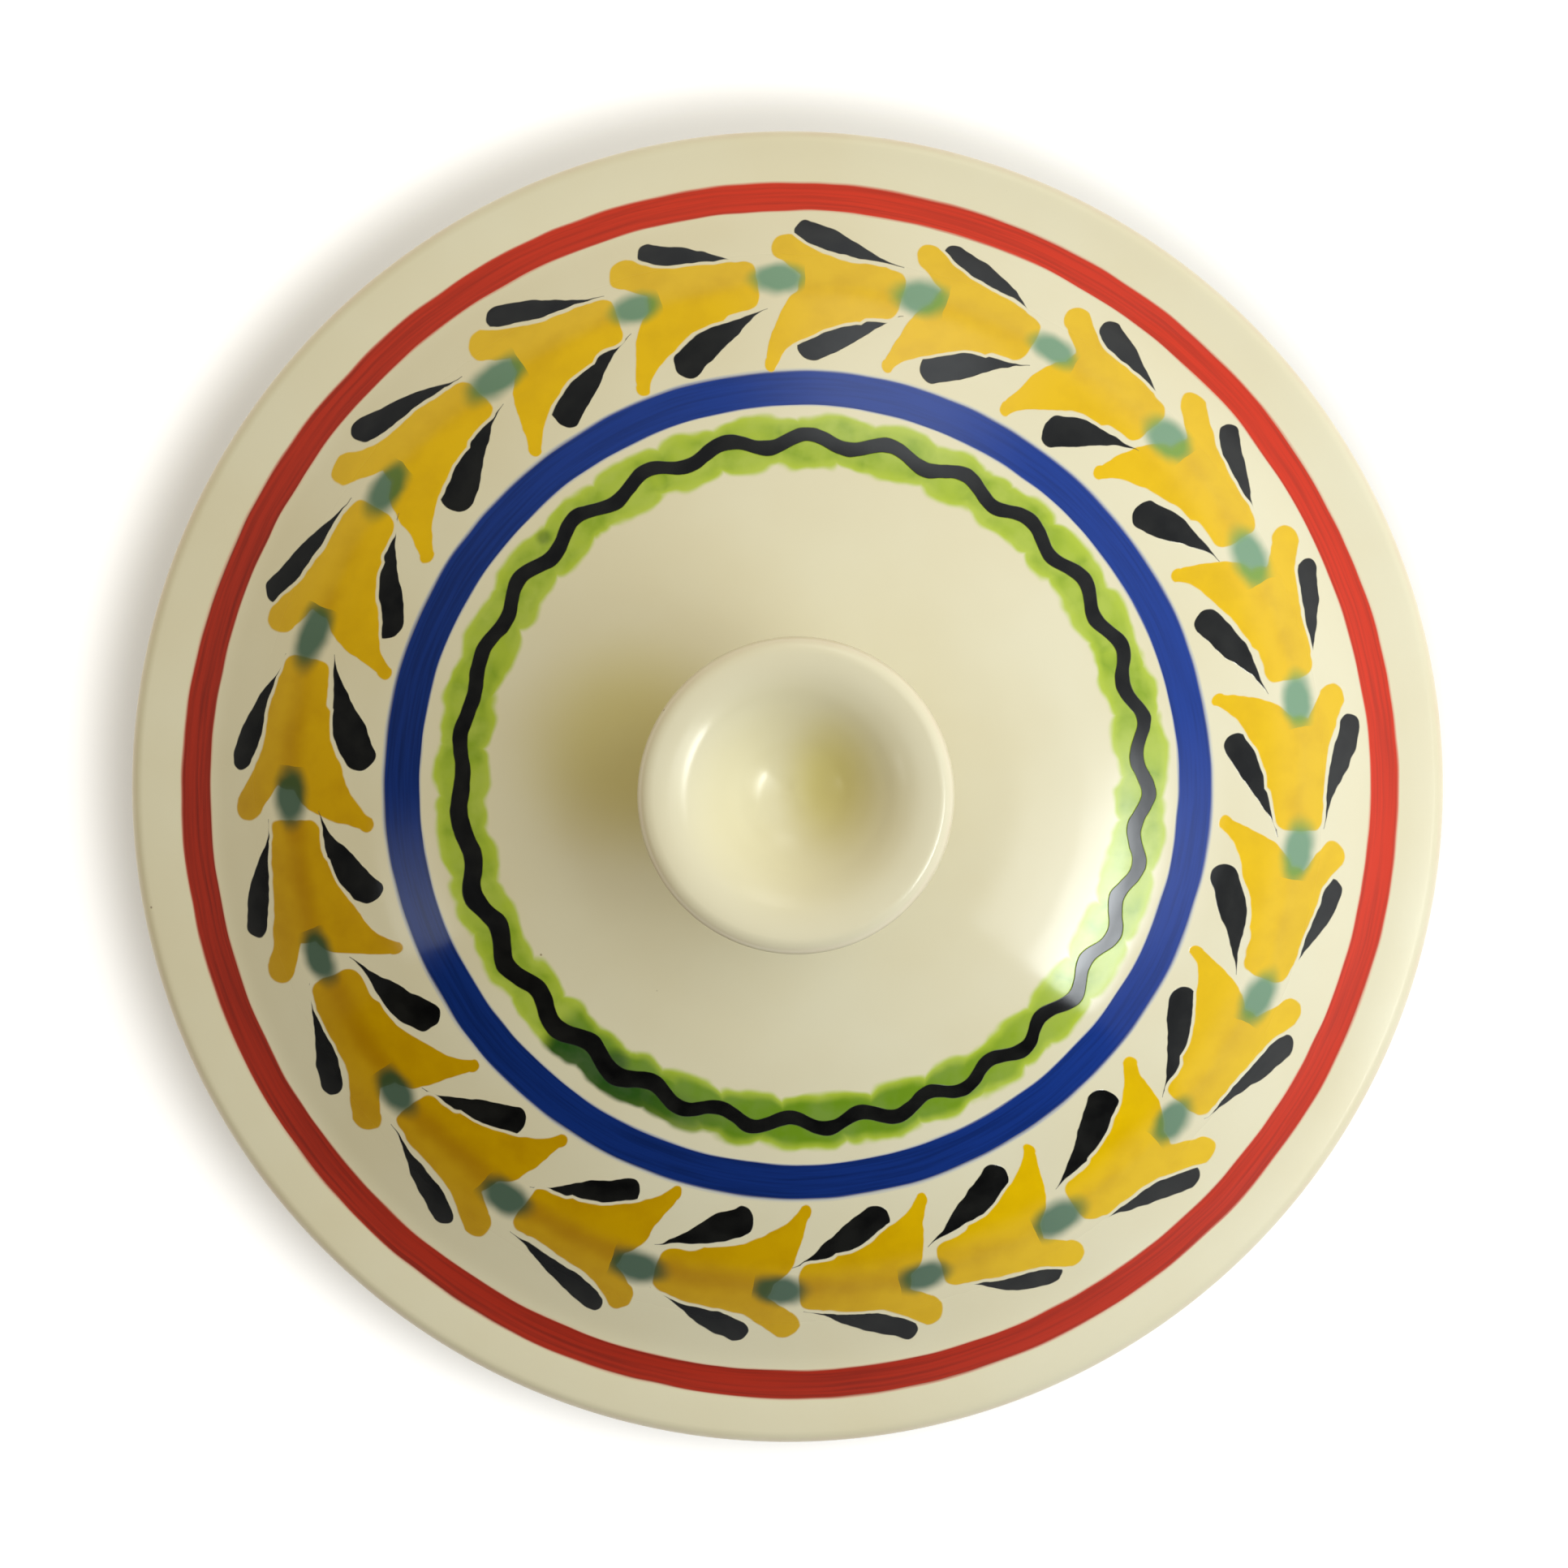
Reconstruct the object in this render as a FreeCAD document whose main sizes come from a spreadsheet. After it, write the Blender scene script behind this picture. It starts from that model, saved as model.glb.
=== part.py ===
"""Glazed pottery tortilla warmer: a flat-bottomed dish on a foot ring, and a domed lid with a cup knob.

Every piece is a solid of revolution about Z. +Z is up, and the origin is on the table under the middle.
Lengths are in millimetres and angles in degrees.
"""
import FreeCAD, Part
import os
from math import acos, asin, cos, degrees, radians, sin

import Sketcher
from FreeCAD import Vector

doc = FreeCAD.newDocument("tortilla_warmer")
sheet = doc.addObject("Spreadsheet::Sheet", "Sizes")

# Cells that a designer sets: alias, value, what it is.
DRIVING = [
    # The mouth of the dish sizes both halves: it takes 200 mm tortillas.
    ("mouth_radius", 106.5, "dish's inner radius, just under the rounded edge of its mouth"),
    ("dish_height", 50.0, "table to the seat that the lid rests on"),
    ("floor_thickness", 7.0, "dish's floor"),
    ("dish_wall", 6.0, "dish's side wall, square to its faces"),
    ("wall_draft", 4.0, "lean of the side wall, outwards and up"),
    ("heel_curve", 24.0, "inside radius between the floor and the side wall"),
    ("mouth_round", 2.0, "rounded inner edge of the dish's seat"),
    ("rim_round", 2.75, "rounded outer edge of the dish's rim, half its thickness there"),
    ("rim_slope", 12.0, "rise of the rim's underside towards its edge"),
    ("rim_fillet", 4.0, "hollow between the side wall and the rim's underside"),
    ("lid_overhang", 3.5, "how far the lid's lip stands out past the dish's rim"),
    ("foot_height", 6.0, "table to the underside of the dish"),
    ("foot_inset", 7.0, "foot ring's outer face in from where the heel starts to curve"),
    ("foot_width", 8.0, "foot ring, across its section"),
    ("foot_round", 1.5, "rounded lower edges of the foot ring"),
    # The lid.
    ("lid_height", 42.0, "seat to the flat crown under the knob"),
    ("lid_wall", 6.0, "lid's shell, square to its faces"),
    ("dome_overhang", 0.5, "foot of the dome out from the dish's mouth"),
    ("brim_width", 18.0, "foot of the dome to the edge of the lip"),
    ("brim_slope", 12.0, "fall of the brim towards its lip"),
    ("lip_round", 3.0, "rounded lip of the brim, half its thickness there"),
    ("brim_hollow", 20.0, "hollow curve between the dome and the brim"),
    ("shoulder_slope", 20.0, "fall of the dome where the crown's curve gives way to the shoulder's"),
    ("dome_slope", 34.0, "fall of the dome at its foot, where it is steepest"),
    ("crown_margin", 1.0, "flat crown past the knob's base, for the slip that joins them"),
    # The ring under the lid that drops into the mouth of the dish.
    ("ring_clearance", 2.0, "between the locating ring and the dish's mouth"),
    ("ring_width", 5.0, "locating ring, across its section"),
    ("ring_drop", 7.0, "locating ring, below the seat"),
    ("ring_round", 1.5, "rounded lower edges of the locating ring"),
    # The knob.
    ("knob_height", 30.0, "crown to the top of the cup's lip"),
    ("knob_rim_radius", 28.5, "outside of the cup's lip"),
    ("knob_base_radius", 17.0, "foot of the knob on the crown"),
    ("waist_radius", 12.0, "narrowest part of the stem"),
    ("waist_height", 8.0, "crown to the waist"),
    ("cup_lip_round", 3.0, "outer half of the cup's lip"),
    ("cup_lip_roll", 14.0, "inner half of the lip, which rolls over slowly into the cup"),
    ("cup_slope", 36.0, "rise of the cup's wall towards its lip"),
    ("cup_hollow", 18.0, "rounded bottom of the cup"),
]

# Cells worked out from those above.
DERIVED = [
    ("seat_above_foot", "dish_height - foot_height", "underside of the dish to its seat"),
    ("dome_radius", "mouth_radius + dome_overhang", "foot of the dome"),
    ("lid_radius", "dome_radius + brim_width", "edge of the lip, the widest part of all"),
    ("lip_centre", "lid_radius - lip_round", "middle of the lip's round, from the axis"),
    ("rim_radius", "lid_radius - lid_overhang", "edge of the dish's rim"),
    ("rim_centre", "rim_radius - rim_round", "middle of the rim's round, from the axis"),
    ("ring_radius", "mouth_radius - ring_clearance", "outside of the locating ring"),
    ("ring_inner_radius", "ring_radius - ring_width", "inside of the locating ring"),
    ("crown_radius", "knob_base_radius + crown_margin", "flat crown"),
    ("crown_level", "dish_height + lid_height", "table to the crown"),
    ("crown_underside", "lid_height - lid_wall", "seat to the crown's underside"),
    # The dish's heel: its outer curve is the inner one grown by the wall.
    ("heel_outer_curve", "heel_curve + dish_wall", "outside radius between underside and side wall"),
    ("mouth_level", "seat_above_foot - mouth_round * (1 - sin(wall_draft))",
     "underside of the dish to the lower end of the mouth's rounded edge"),
    ("heel_radius", "mouth_radius - (mouth_level - heel_outer_curve) * tan(wall_draft)"
     " + (dish_wall - heel_outer_curve) / cos(wall_draft)", "where the heel starts to curve up"),
    ("wall_line", "heel_radius * cos(wall_draft) + heel_outer_curve * (1 - sin(wall_draft))",
     "side wall's outer face, square from the axis at the underside's level"),
    ("heel_inner_radius", "(wall_line - dish_wall - heel_curve"
     " + (floor_thickness + heel_curve) * sin(wall_draft)) / cos(wall_draft)", "flat of the floor"),
    ("heel_inner_level", "floor_thickness + heel_curve", "middle of the inside radius"),
    ("mouth_edge_centre", "mouth_radius + mouth_round * cos(wall_draft)", "middle of the mouth's round"),
    ("rim_line", "(seat_above_foot - rim_round) * cos(rim_slope) - rim_centre * sin(rim_slope)"
     " - rim_round", "rim's underside, square from the middle of the dish's underside"),
    # The fillet touches the wall from outside and the rim from below.
    ("fillet_centre", "((wall_line + rim_fillet) * cos(rim_slope)"
     " + (rim_line - rim_fillet) * sin(wall_draft)) / cos(wall_draft + rim_slope)",
     "its middle, from the axis"),
    ("fillet_level", "((rim_line - rim_fillet) * cos(wall_draft)"
     " + (wall_line + rim_fillet) * sin(rim_slope)) / cos(wall_draft + rim_slope)",
     "its middle, from the underside"),
    ("foot_radius", "heel_radius - foot_inset", "outside of the foot ring"),
    ("foot_inner_radius", "foot_radius - foot_width", "inside of the foot ring"),
    # The hollow touches the brim's slope from above, and the lip touches it from below.
    ("hollow_centre", "dome_radius + brim_hollow * sin(dome_slope)", "its middle, from the axis"),
    ("hollow_level", "lip_round + (brim_hollow + lip_round"
     " - (hollow_centre - lip_centre) * sin(brim_slope)) / cos(brim_slope)", "its middle, from the seat"),
    ("dome_foot_level", "hollow_level - brim_hollow * cos(dome_slope)", "foot of the dome, from the seat"),
    # Two arcs make the dome. Their radii follow from its run, its drop and the two slopes.
    ("dome_run", "dome_radius - crown_radius", "edge of the crown to the foot of the dome"),
    ("dome_drop", "lid_height - dome_foot_level", "crown to the foot of the dome"),
    ("slope_term", "sin(shoulder_slope) - sin(dome_slope) + sin(dome_slope - shoulder_slope)",
     "divisor that both radii share"),
    ("crown_curve", "(dome_run * (cos(shoulder_slope) - cos(dome_slope))"
     " - dome_drop * (sin(dome_slope) - sin(shoulder_slope))) / slope_term", "inner arc of the dome"),
    ("shoulder_curve", "(dome_drop * sin(shoulder_slope)"
     " - dome_run * (1 - cos(shoulder_slope))) / slope_term", "outer arc of the dome"),
    ("shoulder_centre", "dome_radius - shoulder_curve * sin(dome_slope)", "its middle, from the axis"),
    ("shoulder_level", "dome_foot_level - shoulder_curve * cos(dome_slope)", "its middle, from the seat"),
    ("shoulder_depth", "-shoulder_level", "the same, measured downwards"),
    ("shoulder_inner_curve", "shoulder_curve - lid_wall", "the same arc on the lid's inner face"),
    # The knob's stem turns into the straight wall of the cup.
    ("cup_lip_centre", "knob_rim_radius - cup_lip_round", "top of the lip, from the axis"),
    ("cup_lip_level", "knob_height - cup_lip_round", "middle of the lip's outer half, from the crown"),
    ("cup_roll_level", "knob_height - cup_lip_roll", "middle of its inner half, from the crown"),
    ("neck_curve", "((cup_lip_level - waist_height) * cos(cup_slope)"
     " - (cup_lip_centre - waist_radius) * sin(cup_slope) - cup_lip_round) / (1 - sin(cup_slope))",
     "hollow curve from the waist up to the cup"),
    ("cup_hollow_level", "(cup_hollow + cup_lip_roll + cup_roll_level * cos(cup_slope)"
     " - cup_lip_centre * sin(cup_slope)) / cos(cup_slope)", "middle of the cup's bottom, from the crown"),
    ("base_curve", "((knob_base_radius - waist_radius) ^ 2 + waist_height ^ 2)"
     " / (2 * (knob_base_radius - waist_radius))", "hollow curve from the waist down to the base"),
]

for row, (alias, content, meaning) in enumerate(DRIVING + DERIVED, start=1):
    sheet.set(f"A{row}", alias.replace("_", " "))
    sheet.set(f"B{row}", f"={content}" if isinstance(content, str) else str(content))
    sheet.set(f"C{row}", meaning)
    sheet.setAlias(f"B{row}", alias)
doc.recompute()


def size(alias):
    return float(sheet.get(alias))


def on_circle(centre, radius, angle):
    """The point of a circle at an angle, which is where a line takes over from an arc."""
    return centre[0] + radius * cos(radians(angle)), centre[1] + radius * sin(radians(angle))


# Sketcher's numbers for the start, end and middle of an edge, and for its own two axes and origin.
START, END, MIDDLE = 1, 2, 3
ACROSS_AXIS, UP_AXIS = -1, -2
ORIGIN = (ACROSS_AXIS, START)


class Section:
    """A closed half-section, drawn to the right of a body's axis and turned about it."""

    def __init__(self, body):
        self.body = body
        self.sketch = body.newObject("Sketcher::SketchObject", body.Name + "_section")
        plane = next(item for item in body.Origin.OriginFeatures if item.Role == "XZ_Plane")
        self.sketch.AttachmentSupport = [(plane, "")]
        self.sketch.MapMode = "FlatFace"

    def line(self, start, end):
        return self.sketch.addGeometry(Part.LineSegment(Vector(*start), Vector(*end)), False)

    def arc(self, centre, radius, first, last):
        """An arc that runs anticlockwise from one angle to the other."""
        circle = Part.Circle(Vector(*centre), Vector(0, 0, 1), radius)
        return self.sketch.addGeometry(Part.ArcOfCircle(circle, radians(first), radians(last)), False)

    def tie(self, kind, *places):
        self.sketch.addConstraint(Sketcher.Constraint(kind, *places))

    def corner(self, *places):
        self.tie("Coincident", *places)

    def smooth(self, *places):
        self.tie("Tangent", *places)

    def measure(self, kind, places, alias):
        """A dimension that follows a cell of the sheet."""
        value = radians(size(alias)) if kind == "Angle" else size(alias)
        number = self.sketch.addConstraint(Sketcher.Constraint(kind, *places, value))
        self.sketch.setExpression(f"Constraints[{number}]", f"Sizes.{alias}")

    def across(self, place, alias):
        self.measure("DistanceX", (*ORIGIN, *place), alias)

    def up(self, place, alias):
        self.measure("DistanceY", (*ORIGIN, *place), alias)

    def turn(self):
        feature = self.body.newObject("PartDesign::Revolution", self.body.Name + "_turned")
        feature.Profile = self.sketch
        feature.ReferenceAxis = (self.sketch, ["V_Axis"])
        feature.Angle = 360
        self.sketch.Visibility = False
        self.body.Tip = feature


def new_body(name, level=None):
    """A named body, raised to the height that a cell of the sheet gives."""
    body = doc.addObject("PartDesign::Body", name)
    body.Label = name
    if level:
        body.setExpression("Placement.Base.z", f"Sizes.{level}")
    return body


def ring_section(body, inner, outer, foot_level, top_levels, rounding):
    """Three sides of a ring and its two rounded lower edges, open at the top.

    inner, outer and rounding are cells, top_levels are the heights of the inner and the outer side.
    It returns the section, the inner side, the foot and the outer side.
    """
    section = Section(body)
    inner_radius, outer_radius, edge = size(inner), size(outer), size(rounding)
    inside = section.line((inner_radius, top_levels[0]), (inner_radius, foot_level + edge))
    inner_edge = section.arc((inner_radius + edge, foot_level + edge), edge, 180, 270)
    foot = section.line((inner_radius + edge, foot_level), (outer_radius - edge, foot_level))
    outer_edge = section.arc((outer_radius - edge, foot_level + edge), edge, 270, 360)
    outside = section.line((outer_radius, foot_level + edge), (outer_radius, top_levels[1]))
    section.smooth(inside, END, inner_edge, START)
    section.smooth(inner_edge, END, foot, START)
    section.smooth(foot, END, outer_edge, START)
    section.smooth(outer_edge, END, outside, START)
    for side in (inside, outside):
        section.tie("Vertical", side)
    section.tie("Horizontal", foot)
    section.tie("Equal", inner_edge, outer_edge)
    section.measure("Radius", (inner_edge,), rounding)
    section.across((inside, START), inner)
    section.across((outside, END), outer)
    return section, inside, foot, outside


def make_dish_bowl():
    """The dish: flat floor, leaning side wall, and a rim that carries the lid. z = 0 is its underside."""
    section = Section(new_body("dish_bowl", "foot_height"))
    floor, top = size("floor_thickness"), size("seat_above_foot")
    draft, rim_slope = size("wall_draft"), size("rim_slope")
    heel_out_at = (size("heel_radius"), size("heel_outer_curve")), size("heel_outer_curve")
    heel_in_at = (size("heel_inner_radius"), size("heel_inner_level")), size("heel_curve")
    fillet_at = (size("fillet_centre"), size("fillet_level")), size("rim_fillet")
    rim_at = (size("rim_centre"), top - size("rim_round")), size("rim_round")
    mouth_at = (size("mouth_edge_centre"), top - size("mouth_round")), size("mouth_round")

    underside = section.line((0, 0), on_circle(*heel_out_at, 270))
    heel_out = section.arc(*heel_out_at, 270, 360 - draft)
    wall_out = section.line(on_circle(*heel_out_at, -draft), on_circle(*fillet_at, 180 - draft))
    fillet = section.arc(*fillet_at, 90 + rim_slope, 180 - draft)
    under_rim = section.line(on_circle(*fillet_at, 90 + rim_slope), on_circle(*rim_at, rim_slope - 90))
    rim_edge = section.arc(*rim_at, rim_slope - 90, 90)
    seat = section.line(on_circle(*rim_at, 90), on_circle(*mouth_at, 90))
    mouth_edge = section.arc(*mouth_at, 90, 180 - draft)
    wall_in = section.line(on_circle(*mouth_at, 180 - draft), on_circle(*heel_in_at, -draft))
    heel_in = section.arc(*heel_in_at, 270, 360 - draft)
    inside = section.line(on_circle(*heel_in_at, 270), (0, floor))
    axis = section.line((0, floor), (0, 0))

    section.smooth(underside, END, heel_out, START)
    section.smooth(heel_out, END, wall_out, START)
    section.smooth(wall_out, END, fillet, END)
    section.smooth(fillet, START, under_rim, START)
    section.smooth(under_rim, END, rim_edge, START)
    section.smooth(rim_edge, END, seat, START)
    section.smooth(seat, END, mouth_edge, START)
    section.smooth(mouth_edge, END, wall_in, START)
    section.smooth(wall_in, END, heel_in, END)
    section.smooth(heel_in, START, inside, START)
    section.corner(inside, END, axis, START)
    section.corner(axis, END, *ORIGIN)
    section.corner(underside, START, *ORIGIN)
    for level in (underside, seat, inside):
        section.tie("Horizontal", level)
    section.tie("Vertical", axis)
    section.tie("Parallel", wall_in, wall_out)
    section.measure("Distance", (wall_out, START, wall_in), "dish_wall")
    section.measure("Angle", (wall_out, UP_AXIS), "wall_draft")
    section.measure("Angle", (ACROSS_AXIS, under_rim), "rim_slope")
    section.measure("Radius", (heel_in,), "heel_curve")
    section.measure("Radius", (heel_out,), "heel_outer_curve")
    section.measure("Radius", (fillet,), "rim_fillet")
    section.measure("Radius", (rim_edge,), "rim_round")
    section.measure("Radius", (mouth_edge,), "mouth_round")
    section.across((wall_in, START), "mouth_radius")
    section.across((rim_edge, MIDDLE), "rim_centre")
    section.up((seat, START), "seat_above_foot")
    section.up((axis, START), "floor_thickness")
    section.turn()


def make_dish_foot_ring():
    """The turned foot, left bare where it stands on the table. z = 0 is the table."""
    body = new_body("dish_foot_ring")
    height = size("foot_height")
    section, inside, foot, outside = ring_section(
        body, "foot_inner_radius", "foot_radius", 0, (height, height), "foot_round")
    top = section.line((size("foot_radius"), height), (size("foot_inner_radius"), height))
    section.corner(outside, END, top, START)
    section.corner(top, END, inside, START)
    section.tie("Horizontal", top)
    section.tie("PointOnObject", foot, START, ACROSS_AXIS)
    section.up((top, START), "foot_height")
    section.turn()


def make_lid_shell():
    """The lid: flat crown, two-arc dome, hollow, brim and lip, with an inner face one wall below the dome.

    z = 0 is the seat.
    """
    section = Section(new_body("lid_shell", "dish_height"))
    height, underside, crown = size("lid_height"), size("crown_underside"), size("crown_radius")
    shoulder, dome, brim = size("shoulder_slope"), size("dome_slope"), size("brim_slope")
    crown_middle = (crown, height - size("crown_curve"))
    crown_in_at = crown_middle, size("crown_curve") - size("lid_wall")
    shoulder_middle = (size("shoulder_centre"), size("shoulder_level"))
    shoulder_in_at = shoulder_middle, size("shoulder_inner_curve")
    hollow_at = (size("hollow_centre"), size("hollow_level")), size("brim_hollow")
    lip_at = (size("lip_centre"), size("lip_round")), size("lip_round")
    seat_angle = degrees(asin(-shoulder_middle[1] / size("shoulder_inner_curve")))

    top = section.line((0, height), (crown, height))
    crown_out = section.arc(crown_middle, size("crown_curve"), 90 - shoulder, 90)
    shoulder_out = section.arc(shoulder_middle, size("shoulder_curve"), 90 - dome, 90 - shoulder)
    hollow = section.arc(*hollow_at, 270 - dome, 270 - brim)
    slope = section.line(on_circle(*hollow_at, 270 - brim), on_circle(*lip_at, 90 - brim))
    lip_edge = section.arc(*lip_at, -90, 90 - brim)
    seat = section.line(on_circle(*lip_at, -90), on_circle(*shoulder_in_at, seat_angle))
    shoulder_in = section.arc(*shoulder_in_at, seat_angle, 90 - shoulder)
    crown_in = section.arc(*crown_in_at, 90 - shoulder, 90)
    ceiling = section.line((crown, underside), (0, underside))
    axis = section.line((0, underside), (0, height))

    section.smooth(top, END, crown_out, END)
    section.smooth(crown_out, START, shoulder_out, END)
    section.smooth(shoulder_out, START, hollow, START)
    section.smooth(hollow, END, slope, START)
    section.smooth(slope, END, lip_edge, END)
    section.smooth(lip_edge, START, seat, START)
    section.corner(seat, END, shoulder_in, START)
    section.smooth(shoulder_in, END, crown_in, START)
    section.corner(crown_in, END, ceiling, START)
    section.corner(ceiling, END, axis, START)
    section.corner(axis, END, top, START)
    section.corner(shoulder_in, MIDDLE, shoulder_out, MIDDLE)
    section.corner(crown_in, MIDDLE, crown_out, MIDDLE)
    for level in (top, ceiling):
        section.tie("Horizontal", level)
    section.tie("PointOnObject", seat, START, ACROSS_AXIS)
    section.tie("PointOnObject", seat, END, ACROSS_AXIS)
    section.tie("PointOnObject", axis, START, UP_AXIS)
    section.tie("PointOnObject", axis, END, UP_AXIS)
    section.tie("Vertical", crown_in, END, top, END)
    section.measure("Angle", (slope, ACROSS_AXIS), "brim_slope")
    section.measure("Radius", (crown_out,), "crown_curve")
    section.measure("Radius", (shoulder_out,), "shoulder_curve")
    section.measure("Radius", (hollow,), "brim_hollow")
    section.measure("Radius", (lip_edge,), "lip_round")
    section.across((top, END), "crown_radius")
    section.across((shoulder_out, START), "dome_radius")
    section.across((lip_edge, MIDDLE), "lip_centre")
    section.up((axis, START), "crown_underside")
    section.up((axis, END), "lid_height")
    section.turn()


def make_lid_locating_ring():
    """The ring under the lid. Its top follows the lid's inner face, and z = 0 is the seat."""
    body = new_body("lid_locating_ring", "dish_height")
    middle, curve = (size("shoulder_centre"), size("shoulder_level")), size("shoulder_inner_curve")
    inner_angle, outer_angle = (degrees(acos((size(radius) - middle[0]) / curve))
                                for radius in ("ring_inner_radius", "ring_radius"))
    levels = [on_circle(middle, curve, angle)[1] for angle in (inner_angle, outer_angle)]
    section, inside, foot, outside = ring_section(
        body, "ring_inner_radius", "ring_radius", -size("ring_drop"), levels, "ring_round")
    top = section.arc(middle, curve, outer_angle, inner_angle)
    section.corner(outside, END, top, START)
    section.corner(top, END, inside, START)
    section.across((top, MIDDLE), "shoulder_centre")
    section.measure("DistanceY", (top, MIDDLE, *ORIGIN), "shoulder_depth")
    section.measure("Radius", (top,), "shoulder_inner_curve")
    section.measure("DistanceY", (foot, START, *ORIGIN), "ring_drop")
    section.turn()


def make_lid_knob():
    """The knob: a dished cup on a waisted stem. z = 0 is the crown that it stands on."""
    section = Section(new_body("lid_knob", "crown_level"))
    base, waist, waist_height = size("knob_base_radius"), size("waist_radius"), size("waist_height")
    slope = size("cup_slope")
    foot_at = (waist + size("base_curve"), waist_height), size("base_curve")
    neck_at = (waist + size("neck_curve"), waist_height), size("neck_curve")
    lip_at = (size("cup_lip_centre"), size("cup_lip_level")), size("cup_lip_round")
    roll_at = (size("cup_lip_centre"), size("cup_roll_level")), size("cup_lip_roll")
    bottom_at = (0, size("cup_hollow_level")), size("cup_hollow")
    base_angle = 180 + degrees(asin(waist_height / size("base_curve")))

    underside = section.line((0, 0), (base, 0))
    foot = section.arc(*foot_at, 180, base_angle)
    neck = section.arc(*neck_at, 90 + slope, 180)
    wall_out = section.line(on_circle(*neck_at, 90 + slope), on_circle(*lip_at, slope - 90))
    lip_edge = section.arc(*lip_at, slope - 90, 90)
    lip_roll = section.arc(*roll_at, 90, 90 + slope)
    wall_in = section.line(on_circle(*roll_at, 90 + slope), on_circle(*bottom_at, 270 + slope))
    bottom = section.arc(*bottom_at, 270, 270 + slope)
    axis = section.line(on_circle(*bottom_at, 270), (0, 0))

    section.corner(underside, START, *ORIGIN)
    section.corner(underside, END, foot, END)
    section.corner(foot, START, neck, END)
    section.smooth(neck, START, wall_out, START)
    section.smooth(wall_out, END, lip_edge, START)
    section.smooth(lip_edge, END, lip_roll, START)
    section.smooth(lip_roll, END, wall_in, START)
    section.smooth(wall_in, END, bottom, END)
    section.corner(bottom, START, axis, START)
    section.corner(axis, END, *ORIGIN)
    section.tie("Horizontal", underside)
    section.tie("Vertical", axis)
    section.tie("Horizontal", foot, MIDDLE, foot, START)
    section.tie("Horizontal", neck, MIDDLE, neck, END)
    section.tie("Parallel", wall_in, wall_out)
    section.tie("PointOnObject", bottom, MIDDLE, UP_AXIS)
    section.across((underside, END), "knob_base_radius")
    section.across((foot, START), "waist_radius")
    section.up((foot, START), "waist_height")
    section.across((lip_edge, MIDDLE), "cup_lip_centre")
    section.up((lip_edge, MIDDLE), "cup_lip_level")
    section.measure("Radius", (lip_edge,), "cup_lip_round")
    section.across((lip_roll, MIDDLE), "cup_lip_centre")
    section.measure("Radius", (lip_roll,), "cup_lip_roll")
    section.measure("Angle", (ACROSS_AXIS, wall_out), "cup_slope")
    section.measure("Radius", (bottom,), "cup_hollow")
    section.turn()


make_dish_bowl()
make_dish_foot_ring()
make_lid_shell()
make_lid_locating_ring()
make_lid_knob()
doc.recompute()

failed = [item.Name for item in doc.Objects if {"Invalid", "Error"} & set(item.State)]
if failed:
    raise RuntimeError(f"failed to build: {', '.join(failed)}")
bodies = [item for item in doc.Objects if item.isDerivedFrom("PartDesign::Body")]
for body in bodies:
    if body.Shape.isNull() or not body.Shape.isValid() or len(body.Shape.Solids) != 1:
        raise RuntimeError(f"{body.Label} is not one valid solid")

os.makedirs("parts", exist_ok=True)
for body in bodies:
    body.Shape.exportStep(f"parts/{body.Label}.step")
    box = body.Shape.optimalBoundingBox()
    print(f"{body.Label}: {box.XLength:.2f} x {box.YLength:.2f} x {box.ZLength:.2f} mm, "
          f"z {box.ZMin:.2f} to {box.ZMax:.2f}, volume {body.Shape.Volume / 1000:.1f} cm3")
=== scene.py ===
"""Hand-painted pottery tortilla warmer: a dish on a foot ring, and a domed lid with a dished knob."""
from functools import partial
from math import ceil, cos, hypot, pi, radians, sin, tan

import bpy
import numpy as np
from mathutils import Matrix, Vector


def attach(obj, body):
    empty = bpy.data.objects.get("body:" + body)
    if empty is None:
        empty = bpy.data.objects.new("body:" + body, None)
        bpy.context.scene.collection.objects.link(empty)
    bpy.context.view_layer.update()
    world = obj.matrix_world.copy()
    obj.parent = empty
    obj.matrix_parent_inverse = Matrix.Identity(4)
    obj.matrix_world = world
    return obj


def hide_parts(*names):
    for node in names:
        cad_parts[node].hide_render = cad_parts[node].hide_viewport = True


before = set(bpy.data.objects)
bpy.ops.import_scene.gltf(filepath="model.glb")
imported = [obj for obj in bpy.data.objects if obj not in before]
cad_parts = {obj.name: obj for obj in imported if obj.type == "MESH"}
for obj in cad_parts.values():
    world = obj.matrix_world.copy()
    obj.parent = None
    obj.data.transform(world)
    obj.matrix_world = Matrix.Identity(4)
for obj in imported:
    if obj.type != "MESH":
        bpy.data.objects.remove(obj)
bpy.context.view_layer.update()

# ---------------------------------------------------------------------------
# Dish. Thrown earthenware, dipped in cream glaze and fired to a gloss, with a
# red and a blue band brushed round it on the wheel. Its underside and the seat
# for the lid are wiped bare, so that neither kiln shelf nor lid sticks to it.
# ---------------------------------------------------------------------------
MM = 0.001
AROUND = 360          # facets round every turned piece
SPACING = 1.6         # mm at most between the rings of points along a section
ARC_STEP = 9          # degrees at most between the points of an arc
SAME_POINT = 0.01     # mm: points nearer than this are one
SHARP_FROM = 38       # degrees between two faces that meet in an edge
MAP_MARGIN = 0.004    # of the map's width, round each disc


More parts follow.
